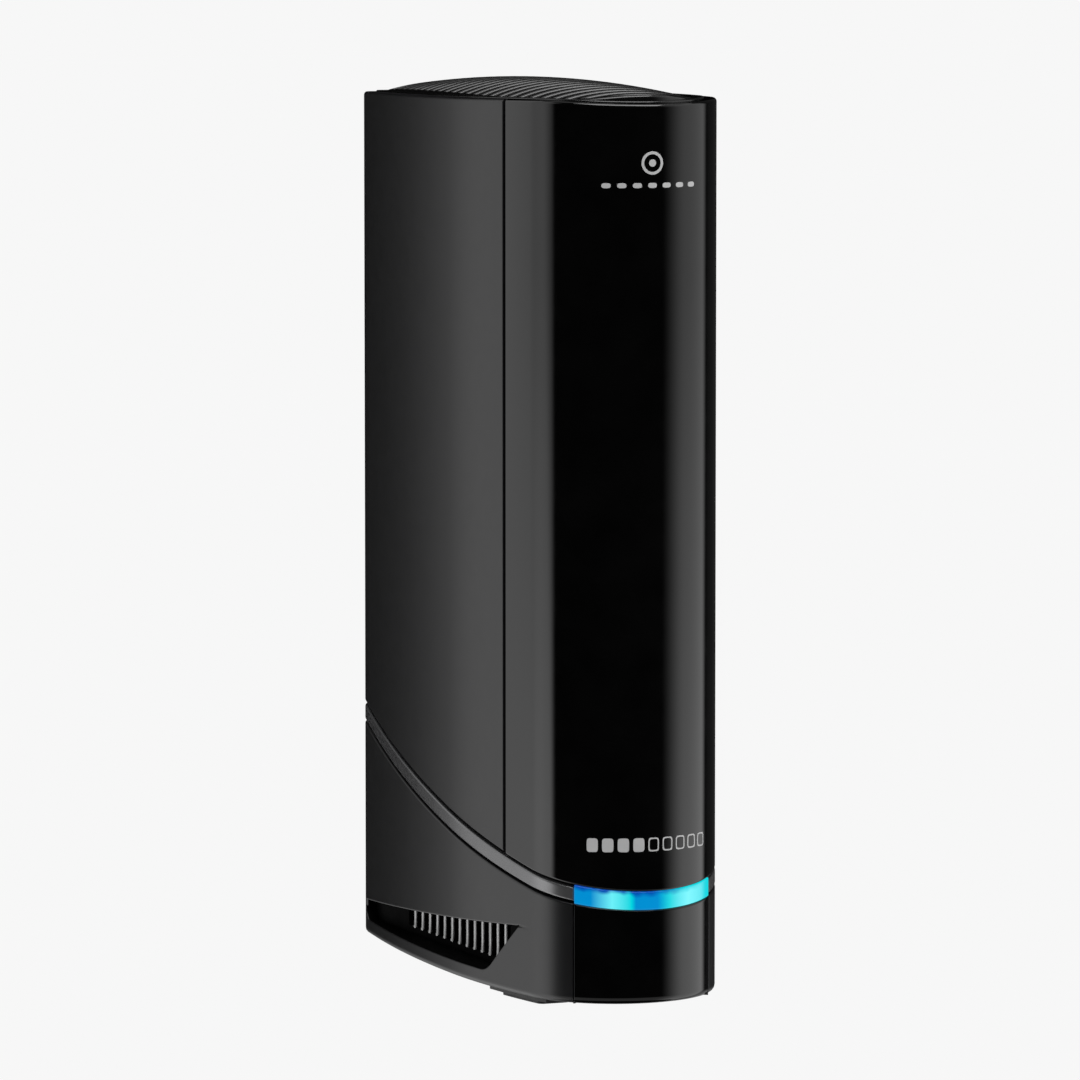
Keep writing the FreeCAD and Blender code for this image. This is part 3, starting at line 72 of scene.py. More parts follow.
# ---- Finishes ----
class Finish:
    """A node material with one Principled shader, and short calls for its patterns."""

    def __init__(self, name, **sockets):
        self.material = bpy.data.materials.new(name)
        self.material.use_nodes = True
        self.tree = self.material.node_tree
        self.shader = self.tree.nodes["Principled BSDF"]
        self.place = self.add("ShaderNodeTexCoord").outputs["Object"]
        for socket, value in sockets.items():
            self.shader.inputs[socket.replace("_", " ")].default_value = value

    def add(self, kind, **settings):
        node = self.tree.nodes.new(kind)
        for name, value in settings.items():
            setattr(node, name, value)
        return node

    def link(self, source, target):
        self.tree.links.new(source, target)

    def stretched(self, scale):
        node = self.add("ShaderNodeMapping")
        node.inputs["Scale"].default_value = scale
        self.link(self.place, node.inputs["Vector"])
        return node.outputs["Vector"]

    def noise(self, size, detail=3.0, roughness=0.55, place=None):
        """Noise whose blobs are about size metres across."""
        node = self.add("ShaderNodeTexNoise")
        node.inputs["Scale"].default_value = 1.0 / size
        node.inputs["Detail"].default_value = detail
        node.inputs["Roughness"].default_value = roughness
        self.link(place or self.place, node.inputs["Vector"])
        return node.outputs["Fac"]

    def ramp(self, source, stops):
        node = self.add("ShaderNodeValToRGB")
        ramp = node.color_ramp
        while len(ramp.elements) < len(stops):
            ramp.elements.new(0.5)
        for element, (position, colour) in zip(ramp.elements, stops):
            element.position = position
            element.color = (*colour, 1.0)
        self.link(source, node.inputs["Fac"])
        return node.outputs["Color"]

    def span(self, source, low, high, from_low=0.0, from_high=1.0):
        """Source stretched from one range to another, and clamped."""
        node = self.add("ShaderNodeMapRange")
        limits = {"From Min": from_low, "From Max": from_high, "To Min": low, "To Max": high}
        for socket, value in limits.items():
            node.inputs[socket].default_value = value
        self.link(source, node.inputs["Value"])
        return node.outputs["Result"]

    def sum(self, first, second, operation="ADD"):
        node = self.add("ShaderNodeMath", operation=operation)
        self.link(first, node.inputs[0])
        self.link(second, node.inputs[1])
        return node.outputs["Value"]

    def blend(self, share, first, second):
        node = self.add("ShaderNodeMix", data_type="RGBA")
        self.link(share, node.inputs["Factor"])
        self.link(first, node.inputs["A"])
        self.link(second, node.inputs["B"])
        return node.outputs["Result"]

    def axis(self, name):
        node = self.add("ShaderNodeSeparateXYZ")
        self.link(self.place, node.inputs["Vector"])
        return node.outputs[name]

    def colour(self, source):
        self.link(source, self.shader.inputs["Base Color"])

    def roughness(self, source):
        self.link(source, self.shader.inputs["Roughness"])

    def bump(self, source, height, strength=1.0):
        """Bump whose full height is given in metres."""
        node = self.add("ShaderNodeBump")
        node.inputs["Strength"].default_value = strength
        node.inputs["Distance"].default_value = height
        self.link(source, node.inputs["Height"])
        if self.shader.inputs["Normal"].is_linked:
            self.link(self.shader.inputs["Normal"].links[0].from_socket, node.inputs["Normal"])
        self.link(node.outputs["Normal"], self.shader.inputs["Normal"])


def grey(level, blue=1.0):
    return (level, level, level * blue)


def moulded(name, low, high, rough_low, rough_high, grain, grain_height, blue=1.0, **sockets):
    """Moulded plastic: soft mottling, uneven sheen and a fine spark-eroded grain, in mm."""
    finish = Finish(name, **sockets)
    finish.colour(finish.ramp(finish.noise(9 * MM), [(0.3, grey(low, blue)), (0.7, grey(high, blue))]))
    finish.roughness(finish.span(finish.noise(3 * MM, 4.0), rough_low, rough_high, 0.3, 0.7))
    finish.bump(finish.noise(grain * MM, 2.0), grain_height * MM)
    return finish.material


def metal(name, tint, rough_low, rough_high, grain):
    finish = Finish(name, Metallic=1.0)
    dark = tuple(channel * 0.82 for channel in tint)
    finish.colour(finish.ramp(finish.noise(2.5 * MM), [(0.35, dark), (0.65, tint)]))
    finish.roughness(finish.span(finish.noise(0.6 * MM, 4.0), rough_low, rough_high, 0.3, 0.7))
    finish.bump(finish.noise(grain * MM, 2.0, place=finish.stretched((1.0, 0.12, 1.0))), 0.006 * MM)
    return finish.material


def matte_shell():
    return moulded("matte_shell", 0.0048, 0.0058, 0.285, 0.31, 0.22, 0.0025, 1.10)


def gloss_panel():
    finish = Finish("gloss_panel", IOR=1.5)
    finish.colour(finish.ramp(finish.noise(12 * MM), [(0.3, grey(0.0012)), (0.7, grey(0.0022))]))
    finish.roughness(finish.span(finish.noise(6 * MM, 5.0), 0.05, 0.11, 0.35, 0.75))
    finish.bump(finish.noise(14 * MM, 1.0), 0.004 * MM)
    return finish.material


DEEP_BLUE = (0.0, 0.06, 0.40)
BLUE = (0.0, 0.25, 0.60)
CYAN = (0.0, 0.65, 0.70)
PALE_CYAN = (0.15, 0.85, 0.90)
LIT_REACH = 16  # mm to either side of the nose that the lit patches cover
LIT_PATCHES = ((-13, BLUE), (-9, PALE_CYAN), (-5, CYAN), (-4, BLUE),
               (1, BLUE), (4, CYAN), (9, PALE_CYAN), (14, CYAN))
LIT_EDGE = ((-12, DEEP_BLUE), (2, DEEP_BLUE), (8, CYAN))
BAR_FOOT = (22.25, 24.45)  # height of the bar's lower edge at the nose tip and BAR_REACH behind it
BAR_REACH = 11
BAR_WAVE = 0.4  # unevenness of the line where the edge colours start
BAR_FADE = (2.8, 3.8)  # between these heights above the lower edge they take over


def along_bar(finish, patches):
    """Colours that change across the bar, from named colours at places in mm."""
    across = finish.span(finish.axis("X"), 0.0, 1.0, -LIT_REACH * MM, LIT_REACH * MM)
    return finish.ramp(across, [(0.5 + place / (2 * LIT_REACH), colour) for place, colour in patches])


def light_window():
    """Lit window: blue and cyan patches along the bar, deeper blue toward its upper edge."""
    finish = Finish("light_window", IOR=1.5, Roughness=0.2, Emission_Strength=1.0)
    depth = finish.axis("Y")
    foot = finish.span(depth, BAR_FOOT[0] * MM, BAR_FOOT[1] * MM, NOSE_Y, NOSE_Y + BAR_REACH * MM)
    rise = finish.sum(finish.axis("Z"), foot, "SUBTRACT")
    wave = finish.span(finish.noise(3 * MM, 1.0), -BAR_WAVE * MM, BAR_WAVE * MM, 0.3, 0.7)
    share = finish.span(finish.sum(rise, wave), 0.0, 1.0, BAR_FADE[0] * MM, BAR_FADE[1] * MM)
    colours = finish.blend(share, along_bar(finish, LIT_PATCHES), along_bar(finish, LIT_EDGE))
    finish.link(colours, finish.shader.inputs["Emission Color"])
    finish.colour(finish.ramp(finish.noise(4 * MM), [(0.3, (0.0, 0.03, 0.06)), (0.7, (0.0, 0.04, 0.07))]))
    finish.bump(finish.noise(2 * MM), 0.01 * MM)
    return finish.material


def circuit_board():
    finish = Finish("circuit_board", Roughness=0.35)
    tracks = finish.noise(1.4 * MM, 0.0, place=finish.stretched((1.0, 1.0, 0.2)))
    finish.colour(finish.ramp(tracks, [(0.48, (0.006, 0.05, 0.018)), (0.52, (0.012, 0.10, 0.035))]))
    finish.bump(tracks, 0.03 * MM)
    return finish.material


def lit(name, colour, strength):
    """Plastic that glows in its own colour."""
    finish = Finish(name, Roughness=0.3, Emission_Strength=strength)
    worn = tuple(channel * 0.9 for channel in colour)
    dim = tuple(channel * 0.8 for channel in colour)
    finish.colour(finish.ramp(finish.noise(1 * MM), [(0.3, colour), (0.7, worn)]))
    glow = finish.ramp(finish.noise(2 * MM), [(0.3, colour), (0.7, dim)])
    finish.link(glow, finish.shader.inputs["Emission Color"])
    return finish.material


def clear_plastic():
    finish = Finish("clear_plastic", Transmission_Weight=0.8, IOR=1.49)
    finish.colour(finish.ramp(finish.noise(3 * MM), [(0.3, (0.80, 0.88, 0.92)), (0.7, (0.88, 0.93, 0.95))]))
    finish.roughness(finish.span(finish.noise(0.8 * MM), 0.15, 0.3, 0.3, 0.7))
    return finish.material


# Darkest and lightest grey, roughness from and to, size and height of the grain, and blueness.
MOULDED = {
    "grille_plastic": (0.003, 0.005, 0.14, 0.20, 0.15, 0.002),
    "panel_plastic": (0.012, 0.016, 0.45, 0.55, 0.3, 0.02),
    "base_plastic": (0.010, 0.014, 0.45, 0.55, 0.3, 0.02),
    "foot_rubber": (0.012, 0.018, 0.55, 0.7, 0.25, 0.02),
    "label_film": (0.50, 0.55, 0.30, 0.38, 0.4, 0.004),
    "connector_plastic": (0.014, 0.020, 0.35, 0.45, 0.2, 0.01),
    "cable_film": (0.55, 0.62, 0.3, 0.4, 0.5, 0.01),
    "chip_epoxy": (0.010, 0.014, 0.5, 0.6, 0.2, 0.01),
    "thermal_rubber": (0.22, 0.26, 0.7, 0.8, 0.4, 0.02, 1.3),
    "white_insulator": (0.70, 0.76, 0.4, 0.5, 0.3, 0.01),
    "button_plastic": (0.05, 0.06, 0.35, 0.45, 0.2, 0.01),
}
# Tint, roughness from and to, and size of the grain.
METALS = {
    "screw_steel": ((0.55, 0.55, 0.57), 0.25, 0.40, 0.2),
    "sink_aluminium": ((0.72, 0.73, 0.75), 0.30, 0.45, 0.2),
    "can_aluminium": ((0.70, 0.70, 0.72), 0.20, 0.30, 0.2),
    "tin_plate": ((0.72, 0.72, 0.73), 0.22, 0.35, 0.2),
    "nickel_brass": ((0.78, 0.77, 0.74), 0.14, 0.24, 0.2),
    "gold_contact": ((0.90, 0.66, 0.28), 0.15, 0.25, 0.1),
}
FINISHES = {
    "matte_shell": matte_shell(),
    "gloss_panel": gloss_panel(),
    "satin_trim": moulded("satin_trim", 0.175, 0.190, 0.20, 0.24, 0.15, 0.002, 1.02, Metallic=0.72),
    # vent_plastic is near-black with almost no reflection: painted shade for the deep recesses of the side
    # vents.
    "vent_plastic": moulded("vent_plastic", 0.0010, 0.0016, 0.5, 0.6, 0.15, 0.006, Specular_IOR_Level=0.02),
    "frame_plastic": moulded("frame_plastic", 0.0012, 0.0018, 0.5, 0.6, 0.3, 0.02, Specular_IOR_Level=0.05),
    "light_window": light_window(),
    "clear_plastic": clear_plastic(),
    "circuit_board": circuit_board(),
    "led_package": lit("led_package", (0.5, 0.85, 0.95), 1.0),
}
FINISHES.update({name: moulded(name, *values) for name, values in MOULDED.items()})
FINISHES.update({name: metal(name, *values) for name, values in METALS.items()})
# Pale metallic finish for the outward faces of the vent slats: a painted highlight. Their sides keep
# vent_plastic as painted shade.
SLAT_HIGHLIGHT_FINISH = moulded("slat_painted_highlight", 0.34, 0.40, 0.26, 0.32, 0.15, 0.004, Metallic=0.7)


def dress_cad_nodes():
    """Give every node of the frame the finish of its slot."""
    for row in frame["record"]["subparts"]:
        node = frame["nodes"][row["node"]]
        for slot in node.material_slots:
            slot.material = FINISHES[row["material_slot"]]


# ---- Shape of the outer skin: millimetres, depths from the nose tip, heights from the floor ----
NOSE_RADIUS = 22.2
NOSE_TURN = math.radians(78.6)
SHOULDER_RADIUS = 192.5
REAR_RADIUS = 408.0
CORNER_RADIUS = 2.5
BODY_DEPTH = 123.0
BODY_BOTTOM = 1.5
RIM_LINE = ((20.0, 197.3), (123.0, 195.5))  # where the rim starts to fall, and at the back
RIM_NOSE_RADIUS = 190.0
WALL = 2.2
TOP_EDGE = 0.8
BOTTOM_EDGE = 1.4
PANEL_EDGE = 0.35
TRIM_EDGE = 0.4
BAR_EDGE = 0.2
TIGHT_EDGE = 0.12
LONGEST_EDGE = 1.5  # no rounding reaches further than this
SKIN_INSET = 0.015  # the skin lies this far inside the outline
GROOVE = 0.4
UPPER_GROOVE = 0.45  # the trim drops and the cover rises this far from the trim line
LOWER_GROOVE = 0.4  # rise of the trim's lower edge from its line
SEAM = (27.8, 28.6)  # where the front panel ends and a side cover starts
BUTT = (15.92, 16.08)  # half widths at the tight seam beside the light bar
REAR_OPENING = (15.0, 24.0, 188.0)  # half width, bottom and top
REAR_OPENING_ROWS = (-0.6, -0.3)  # two rows just below its top
REAR_BRIDGE = 2.0  # least distance from its bottom up to the skirt's top edge
TRIM_UPPER = ((0.0, 25.95), (61.0, 39.6), (122.0, 55.3))
TRIM_LOWER = ((0.0, 22.25), (61.0, 35.2), (122.0, 51.1))
VENT_TIP = (22.5, 16.8)
VENT_TIP_HALF = 0.15  # half the height of the opening at its tip
VENT_SLANT_END = (34.1, 7.1)
VENT_FLOOR_START = (39.6, 5.1)
VENT_FLOOR_POWER = 2.2  # how fast the slant flattens into the floor
VENT_REAR = (117.2, 120.2)
VENT_HEAD = (VENT_TIP, (61.4, 13.9), (120.2, 9.5))
VENT_BENDS = (VENT_TIP[0], VENT_TIP[0] + 0.6, VENT_SLANT_END[0], 35.0, 36.0, 37.2, 38.4, VENT_FLOOR_START[0],
              VENT_REAR[0], 118.0, 118.8, 119.4, 119.8, 120.05, VENT_REAR[1])
VENT_SLANT_SPAN = (24.5, 33.0)
VENT_SLANT_GAP = 1.5


def outline_arcs():
    """Arcs of the left side as (centre x, centre depth, radius, first angle, last angle)."""
    sweep = SHOULDER_RADIUS - NOSE_RADIUS
    shoulder_x = sweep * math.sin(NOSE_TURN)
    widest = NOSE_RADIUS + sweep * math.cos(NOSE_TURN)
    rear_x = REAR_RADIUS - SHOULDER_RADIUS + shoulder_x
    corner_depth = BODY_DEPTH - CORNER_RADIUS
    reach = REAR_RADIUS - CORNER_RADIUS
    corner_turn = math.pi / 2 + math.asin((corner_depth - widest) / reach)
    corner_x = rear_x - reach * math.sin(corner_turn)
    return ((0.0, NOSE_RADIUS, NOSE_RADIUS, 0.0, NOSE_TURN),
            (shoulder_x, widest, SHOULDER_RADIUS, NOSE_TURN, math.pi / 2),
            (rear_x, widest, REAR_RADIUS, math.pi / 2, corner_turn),
            (corner_x, corner_depth, CORNER_RADIUS, corner_turn, math.pi))


ARCS = outline_arcs()
ARC_LENGTH = sum(arc[2] * (arc[4] - arc[3]) for arc in ARCS)
HALF_LENGTH = ARC_LENGTH - ARCS[3][0]  # from the nose tip round the left to mid-back


def station(run):
    """Point and outward normal on the outline: (x, depth, normal x, normal depth)."""
    if run < 0 or run > HALF_LENGTH:
        x, depth, out_x, out_depth = station(-run if run < 0 else 2 * HALF_LENGTH - run)
        return -x, depth, -out_x, out_depth
    for centre_x, centre_depth, radius, first, last in ARCS:
        length = radius * (last - first)
        if run <= length:
            angle = first + run / radius
            out = (-math.sin(angle), -math.cos(angle))
            return centre_x + radius * out[0], centre_depth + radius * out[1], out[0], out[1]
        run -= length
    return ARCS[3][0] + run, BODY_DEPTH, 0.0, 1.0


def run_at_depth(depth):
    """Distance round the left side to a depth."""
    run = 0.0
    for _, centre_depth, radius, first, last in ARCS:
        if depth <= centre_depth - radius * math.cos(last):
            return run + radius * (math.acos((centre_depth - depth) / radius) - first)
        run += radius * (last - first)
    return run


def run_at_front(x):
    """Distance round the nose to a distance from the middle plane."""
    return NOSE_RADIUS * math.asin(x / NOSE_RADIUS)


def circle_through(points):
    """Centre and radius of the circle through three (depth, height) points."""
    (x1, y1), (x2, y2), (x3, y3) = points
    scale = 2 * (x1 * (y2 - y3) + x2 * (y3 - y1) + x3 * (y1 - y2))
    square1, square2, square3 = (x * x + y * y for x, y in points)
    middle_x = (square1 * (y2 - y3) + square2 * (y3 - y1) + square3 * (y1 - y2)) / scale
    middle_y = (square1 * (x3 - x2) + square2 * (x1 - x3) + square3 * (x2 - x1)) / scale
    return middle_x, middle_y, math.hypot(x1 - middle_x, y1 - middle_y)


def trim_line(points, rise):
    """Function that gives the height of a trim edge at a depth, moved square to the edge by rise."""
    middle, top, radius = circle_through(points)
    return lambda depth: top - math.sqrt((radius - rise) ** 2 - (depth - middle) ** 2)


def rim_height(depth):
    """Top of the outer wall: an arc over the nose, then a straight fall to the back."""
    (start, high), (end, low) = RIM_LINE
    fall = math.atan2(high - low, end - start)
    if depth >= start:
        return high - (depth - start) * math.tan(fall)
    middle = start - RIM_NOSE_RADIUS * math.sin(fall)
    base = high - RIM_NOSE_RADIUS * math.cos(fall)
    return base + math.sqrt(RIM_NOSE_RADIUS ** 2 - (depth - middle) ** 2)


def level(height):
    return lambda depth: height


def vent_floor(depth):
    """Lower edge of the scoop opening; outside it, a line near the tip or the rear end."""
    corner_start, end = VENT_REAR
    if depth <= VENT_TIP[0]:
        return VENT_TIP[1] - VENT_TIP_HALF
    if depth < VENT_SLANT_END[0]:
        share = (depth - VENT_TIP[0]) / (VENT_SLANT_END[0] - VENT_TIP[0])
        return VENT_TIP[1] - VENT_TIP_HALF + share * (VENT_SLANT_END[1] - VENT_TIP[1] + VENT_TIP_HALF)
    if depth < VENT_FLOOR_START[0]:
        share = (depth - VENT_SLANT_END[0]) / (VENT_FLOOR_START[0] - VENT_SLANT_END[0])
        drop = VENT_SLANT_END[1] - VENT_FLOOR_START[1]
        return VENT_FLOOR_START[1] + drop * (1 - share) ** VENT_FLOOR_POWER
    if depth <= corner_start:
        return VENT_FLOOR_START[1]
    radius = end - corner_start
    across = min(depth - corner_start, radius)
    return VENT_FLOOR_START[1] + radius - math.sqrt(radius ** 2 - across ** 2)


def vent_head(depth):
    """Upper edge of the scoop opening; outside it, a line near the tip or the rear end."""
    if depth <= VENT_TIP[0]:
        return VENT_TIP[1] + VENT_TIP_HALF
    middle, base, radius = circle_through(VENT_HEAD)
    reach = min(depth, VENT_REAR[1])
    return base + math.sqrt(radius ** 2 - (reach - middle) ** 2)


# ---- Mesh builders ----
SHARP_ANGLE = math.radians(42)
EDGE_GUARD = 0.15  # from a rounding to the line beyond it
END_GUARD = 0.1  # from the lines at an end to the next station
SAME_RUN = 0.02  # stations closer than this count as one
ARC_GAPS = (0.8, 2.5, 5.0, 0.45, 5.0)  # greatest gap on each arc and on the flat back


def spot(x, depth, height):
    return Vector((x * MM, NOSE_Y + depth * MM, height * MM))


def new_piece(name, work, slot, *nodes):
    """Turn a finished bmesh into a smooth piece of the housing that stands for CAD nodes."""
    bmesh.ops.recalc_face_normals(work, faces=work.faces)
    mesh = bpy.data.meshes.new(name)
    work.to_mesh(mesh)
    work.free()
    mesh.shade_smooth()
    mesh.set_sharp_from_angle(angle=SHARP_ANGLE)
    mesh.materials.append(FINISHES[slot])
    piece = bpy.data.objects.new(name, mesh)
    bpy.context.scene.collection.objects.link(piece)
    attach(piece, "housing")
    if nodes:
        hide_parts(*nodes)
    return piece


def edge_steps(radius, steps=3):
    """Distances from an edge to the lines of its rounding, and one line beyond it."""
    turns = [math.pi / 2 * step / steps for step in range(steps + 1)]
    return [radius * (1 - math.cos(turn)) for turn in turns] + [radius + EDGE_GUARD]


def rise_from(line, radius, steps=3):
    """Rows above an edge, lowest first."""
    return [(line, step) for step in edge_steps(radius, steps)]


def drop_from(line, radius, steps=3):
    """Rows below an edge, lowest first."""
    return [(line, -step) for step in reversed(edge_steps(radius, steps))]


def spread(first, last, gap):
    """Even values from first to last, no more than gap apart."""
    count = max(1, math.ceil((last - first) / gap))
    return [first + (last - first) * number / count for number in range(count + 1)]


def runs_between(first, last, radius):
    """Stations of a piece: close together at its rounded ends and where the outline bends."""
    steps = edge_steps(radius)
    runs = [first + step for step in steps] + [last - step for step in steps]
    bends = [0.0]
    for arc in ARCS:
        bends.append(bends[-1] + arc[2] * (arc[4] - arc[3]))
    for start, end, gap in zip(bends, bends[1:] + [HALF_LENGTH], ARC_GAPS):
        for run in spread(start, end, gap):
            runs += [run, -run, 2 * HALF_LENGTH - run]
    low, high = first + steps[-1] + END_GUARD, last - steps[-1] - END_GUARD
    ends = runs[:2 * len(steps)]
    return ends + [run for run in runs[2 * len(steps):] if low < run < high]


def tidy_runs(runs):
    """Stations in order, with no two the same."""
    kept = []
    for run in sorted(runs):
        if not kept or run - kept[-1] > SAME_RUN:
            kept.append(run)
    return kept


class Wall:
    """A sheet WALL thick that follows the outline, with a rounding along each of its edges.

    Its cells lie between stations and rows. edges holds the rounding of its bottom, its top and
    its two ends. is_open(x, depth, row) says that the cell above a row is a hole.
    """

    def __init__(self, runs, rows, edges, is_open):
        self.runs = tidy_runs(runs)
        self.places = [station(run) for run in self.runs]
        self.heights = [[line(place[1]) + offset for line, offset in rows] for place in self.places]
        self.columns, self.lines = len(self.runs), len(rows)
        self.edges = edges
        self.cells = {}
        for i in range(self.columns - 1):
            x = (self.places[i][0] + self.places[i + 1][0]) / 2
            depth = (self.places[i][1] + self.places[i + 1][1]) / 2
            for j in range(self.lines - 1):
                self.cells[i, j] = not (is_open and is_open(x, depth, j))

    def filled(self, i, j):
        return self.cells.get((i, j), False)

    def around(self, i, j):
        """Whether each of the four cells that meet at a point is filled."""
        return [self.filled(a, b) for a in (i, i - 1) for b in (j, j - 1)]

    def radius_at(self, i, j):
        bottom, top, ends = self.edges
        if i in (0, self.columns - 1):
            return ends
        if j == 0:
            return bottom
        return top if j == self.lines - 1 else PANEL_EDGE

    def sunk(self, i, j):
        """How far the rounding takes this point of the outer face inward."""
        deepest = 0.0
        for step_i, step_j in ((1, 0), (-1, 0), (0, 1), (0, -1)):
            a, b, away = i, j, 0.0
            while all(self.around(a, b)) and away < LONGEST_EDGE:
                next_a, next_b = a + step_i, b + step_j
                rise = abs(self.heights[next_a][next_b] - self.heights[a][b]) * abs(step_j)
                away += abs(self.runs[next_a] - self.runs[a]) + rise
                a, b = next_a, next_b
            if all(self.around(a, b)) or not any(self.around(a, b)):
                continue
            radius = self.radius_at(a, b)
            if away < radius:
                deepest = max(deepest, radius - math.sqrt(radius ** 2 - (radius - away) ** 2))
        return deepest

    def mesh(self):
        work = bmesh.new()
        outer, inner = {}, {}
        for i, (x, depth, out_x, out_depth) in enumerate(self.places):
            for j in range(self.lines):
                if not any(self.around(i, j)):
                    continue
                for grid, inset in ((outer, SKIN_INSET + self.sunk(i, j)), (inner, WALL)):
                    place = spot(x - out_x * inset, depth - out_depth * inset, self.heights[i][j])
                    grid[i, j] = work.verts.new(place)
        for (i, j), full in self.cells.items():
            if full:
                self.add_cell(work, outer, inner, i, j)
        return work

    def add_cell(self, work, outer, inner, i, j):
        """Outer and inner face of a cell, and a wall where its neighbour is a hole."""
        corners = ((i, j), (i + 1, j), (i + 1, j + 1), (i, j + 1))
        work.faces.new([outer[corner] for corner in corners])
        work.faces.new([inner[corner] for corner in reversed(corners)])
        beyond = ((i, j - 1), (i + 1, j), (i, j + 1), (i - 1, j))
        for side, neighbour in enumerate(beyond):
            if not self.filled(*neighbour):
                first, last = corners[side], corners[(side + 1) % 4]
                work.faces.new((outer[last], outer[first], inner[first], inner[last]))


def wall_piece(name, node, slot, runs, rows, edges, is_open=None):
    """Piece of the outer skin; edges holds the roundings of its bottom, its top and its ends."""
    return new_piece(name, Wall(runs, rows, edges, is_open).mesh(), slot, node)


# ---- Outer skin ----
def front_panel():
    end = run_at_depth(SEAM[0])
    rows = rise_from(trim_line(TRIM_UPPER, GROOVE / 2), PANEL_EDGE) + drop_from(rim_height, TOP_EDGE, 6)
    wall_piece("front_panel_shell", "front_panel", "gloss_panel", runs_between(-end, end, PANEL_EDGE),
               rows, (PANEL_EDGE, TOP_EDGE, PANEL_EDGE))


def lower_front_panel():
    end = run_at_front(BUTT[0])
    rows = rise_from(level(BODY_BOTTOM), BOTTOM_EDGE, 4)
    rows += drop_from(trim_line(TRIM_LOWER, -GROOVE / 2), PANEL_EDGE)
    wall_piece("lower_front_shell", "lower_front_panel", "gloss_panel",
               runs_between(-end, end, TIGHT_EDGE), rows, (BOTTOM_EDGE, PANEL_EDGE, TIGHT_EDGE))


def light_bar():
    end = run_at_front(BUTT[0])
    rows = rise_from(trim_line(TRIM_LOWER, -GROOVE / 4), BAR_EDGE)
    rows += drop_from(trim_line(TRIM_UPPER, GROOVE / 4), BAR_EDGE)
    wall_piece("light_bar_window", "light_bar", "light_window", runs_between(-end, end, TIGHT_EDGE),
               rows, (BAR_EDGE, BAR_EDGE, TIGHT_EDGE))


def on_side(side, first, last):
    """The same stretch of the outline on the left (-1) or the right (1) side."""
    if side < 0:
        return first, last
    return 2 * HALF_LENGTH - last, 2 * HALF_LENGTH - first


def side_trim(side, name):
    first, last = on_side(side, run_at_front(BUTT[1]), HALF_LENGTH - REAR_OPENING[0])
    rows = rise_from(trim_line(TRIM_LOWER, LOWER_GROOVE), TRIM_EDGE, 4)
    rows += drop_from(trim_line(TRIM_UPPER, -UPPER_GROOVE), TRIM_EDGE, 4)
    wall_piece(name + "_strip", name, "satin_trim", runs_between(first, last, TIGHT_EDGE),
               rows, (TRIM_EDGE, TRIM_EDGE, TIGHT_EDGE))


def side_cover(side, name):
    half, _, opening_top = REAR_OPENING
    first, last = on_side(side, run_at_depth(SEAM[1]), HALF_LENGTH - GROOVE / 2)
    rows = rise_from(trim_line(TRIM_UPPER, UPPER_GROOVE), PANEL_EDGE)
    rows += [(level(opening_top), drop) for drop in REAR_OPENING_ROWS]
    beside = len(rows)
    rows += rise_from(level(opening_top), PANEL_EDGE) + drop_from(rim_height, TOP_EDGE, 6)
    runs = runs_between(first, last, PANEL_EDGE)
    for step in edge_steps(PANEL_EDGE):
        edge = HALF_LENGTH - half - step
        runs.append(edge if side < 0 else 2 * HALF_LENGTH - edge)

    def is_open(x, depth, row):
        return row < beside and abs(x) < half and depth > BODY_DEPTH - 1

    wall_piece(name + "_shell", name, "matte_shell", runs, rows,
               (PANEL_EDGE, TOP_EDGE, PANEL_EDGE), is_open)


def base_skirt():
    """Lower body: both sides and the back, with a scoop opening in each side."""
    half, opening_bottom, _ = REAR_OPENING
    top = trim_line(TRIM_LOWER, -GROOVE / 2)

    def opening_line(depth):
        return min(opening_bottom, top(depth) - REAR_BRIDGE)

    first = run_at_front(BUTT[1])
    rows = rise_from(level(BODY_BOTTOM), BOTTOM_EDGE, 4) + drop_from(vent_floor, PANEL_EDGE)
    hole = len(rows) - 1
    rows += rise_from(vent_head, PANEL_EDGE) + drop_from(opening_line, PANEL_EDGE)
    above = len(rows) - 1
    rows += drop_from(top, PANEL_EDGE)
    runs = runs_between(first, 2 * HALF_LENGTH - first, TIGHT_EDGE)
    for depth in list(VENT_BENDS) + spread(*VENT_SLANT_SPAN, VENT_SLANT_GAP):
        runs += [run_at_depth(depth), 2 * HALF_LENGTH - run_at_depth(depth)]
    for step in edge_steps(PANEL_EDGE):
        runs += [HALF_LENGTH - half - step, HALF_LENGTH + half + step]

    def is_open(x, depth, row):
        in_vent = row == hole and VENT_TIP[0] < depth < VENT_REAR[1]
        return in_vent or (row >= above and abs(x) < half and depth > BODY_DEPTH - 1)

    piece = wall_piece("base_skirt_shell", "base_skirt", "matte_shell", runs, rows,
                       (BOTTOM_EDGE, PANEL_EDGE, TIGHT_EDGE), is_open)
    paint_shade_on_scoop_walls(piece)


CUT_FACE_HEIGHTS = (3.9, 18.0)
CUT_FACE_MARGIN = 0.5
CUT_FACE_TURN = 0.6  # a face whose normal has less x than this is a cut


def paint_shade_on_scoop_walls(piece):
    """The cut faces round the scoop openings get the near-black finish of the channels as painted shade."""
    piece.data.materials.append(FINISHES["vent_plastic"])
    for face in piece.data.polygons:
        depth = (face.center.y - NOSE_Y) / MM
        height = face.center.z / MM
        beside = VENT_TIP[0] - CUT_FACE_MARGIN < depth < VENT_REAR[1] + CUT_FACE_MARGIN
        level_with = CUT_FACE_HEIGHTS[0] < height < CUT_FACE_HEIGHTS[1]
        if beside and level_with and abs(face.normal.x) < CUT_FACE_TURN:
            face.material_index = 1


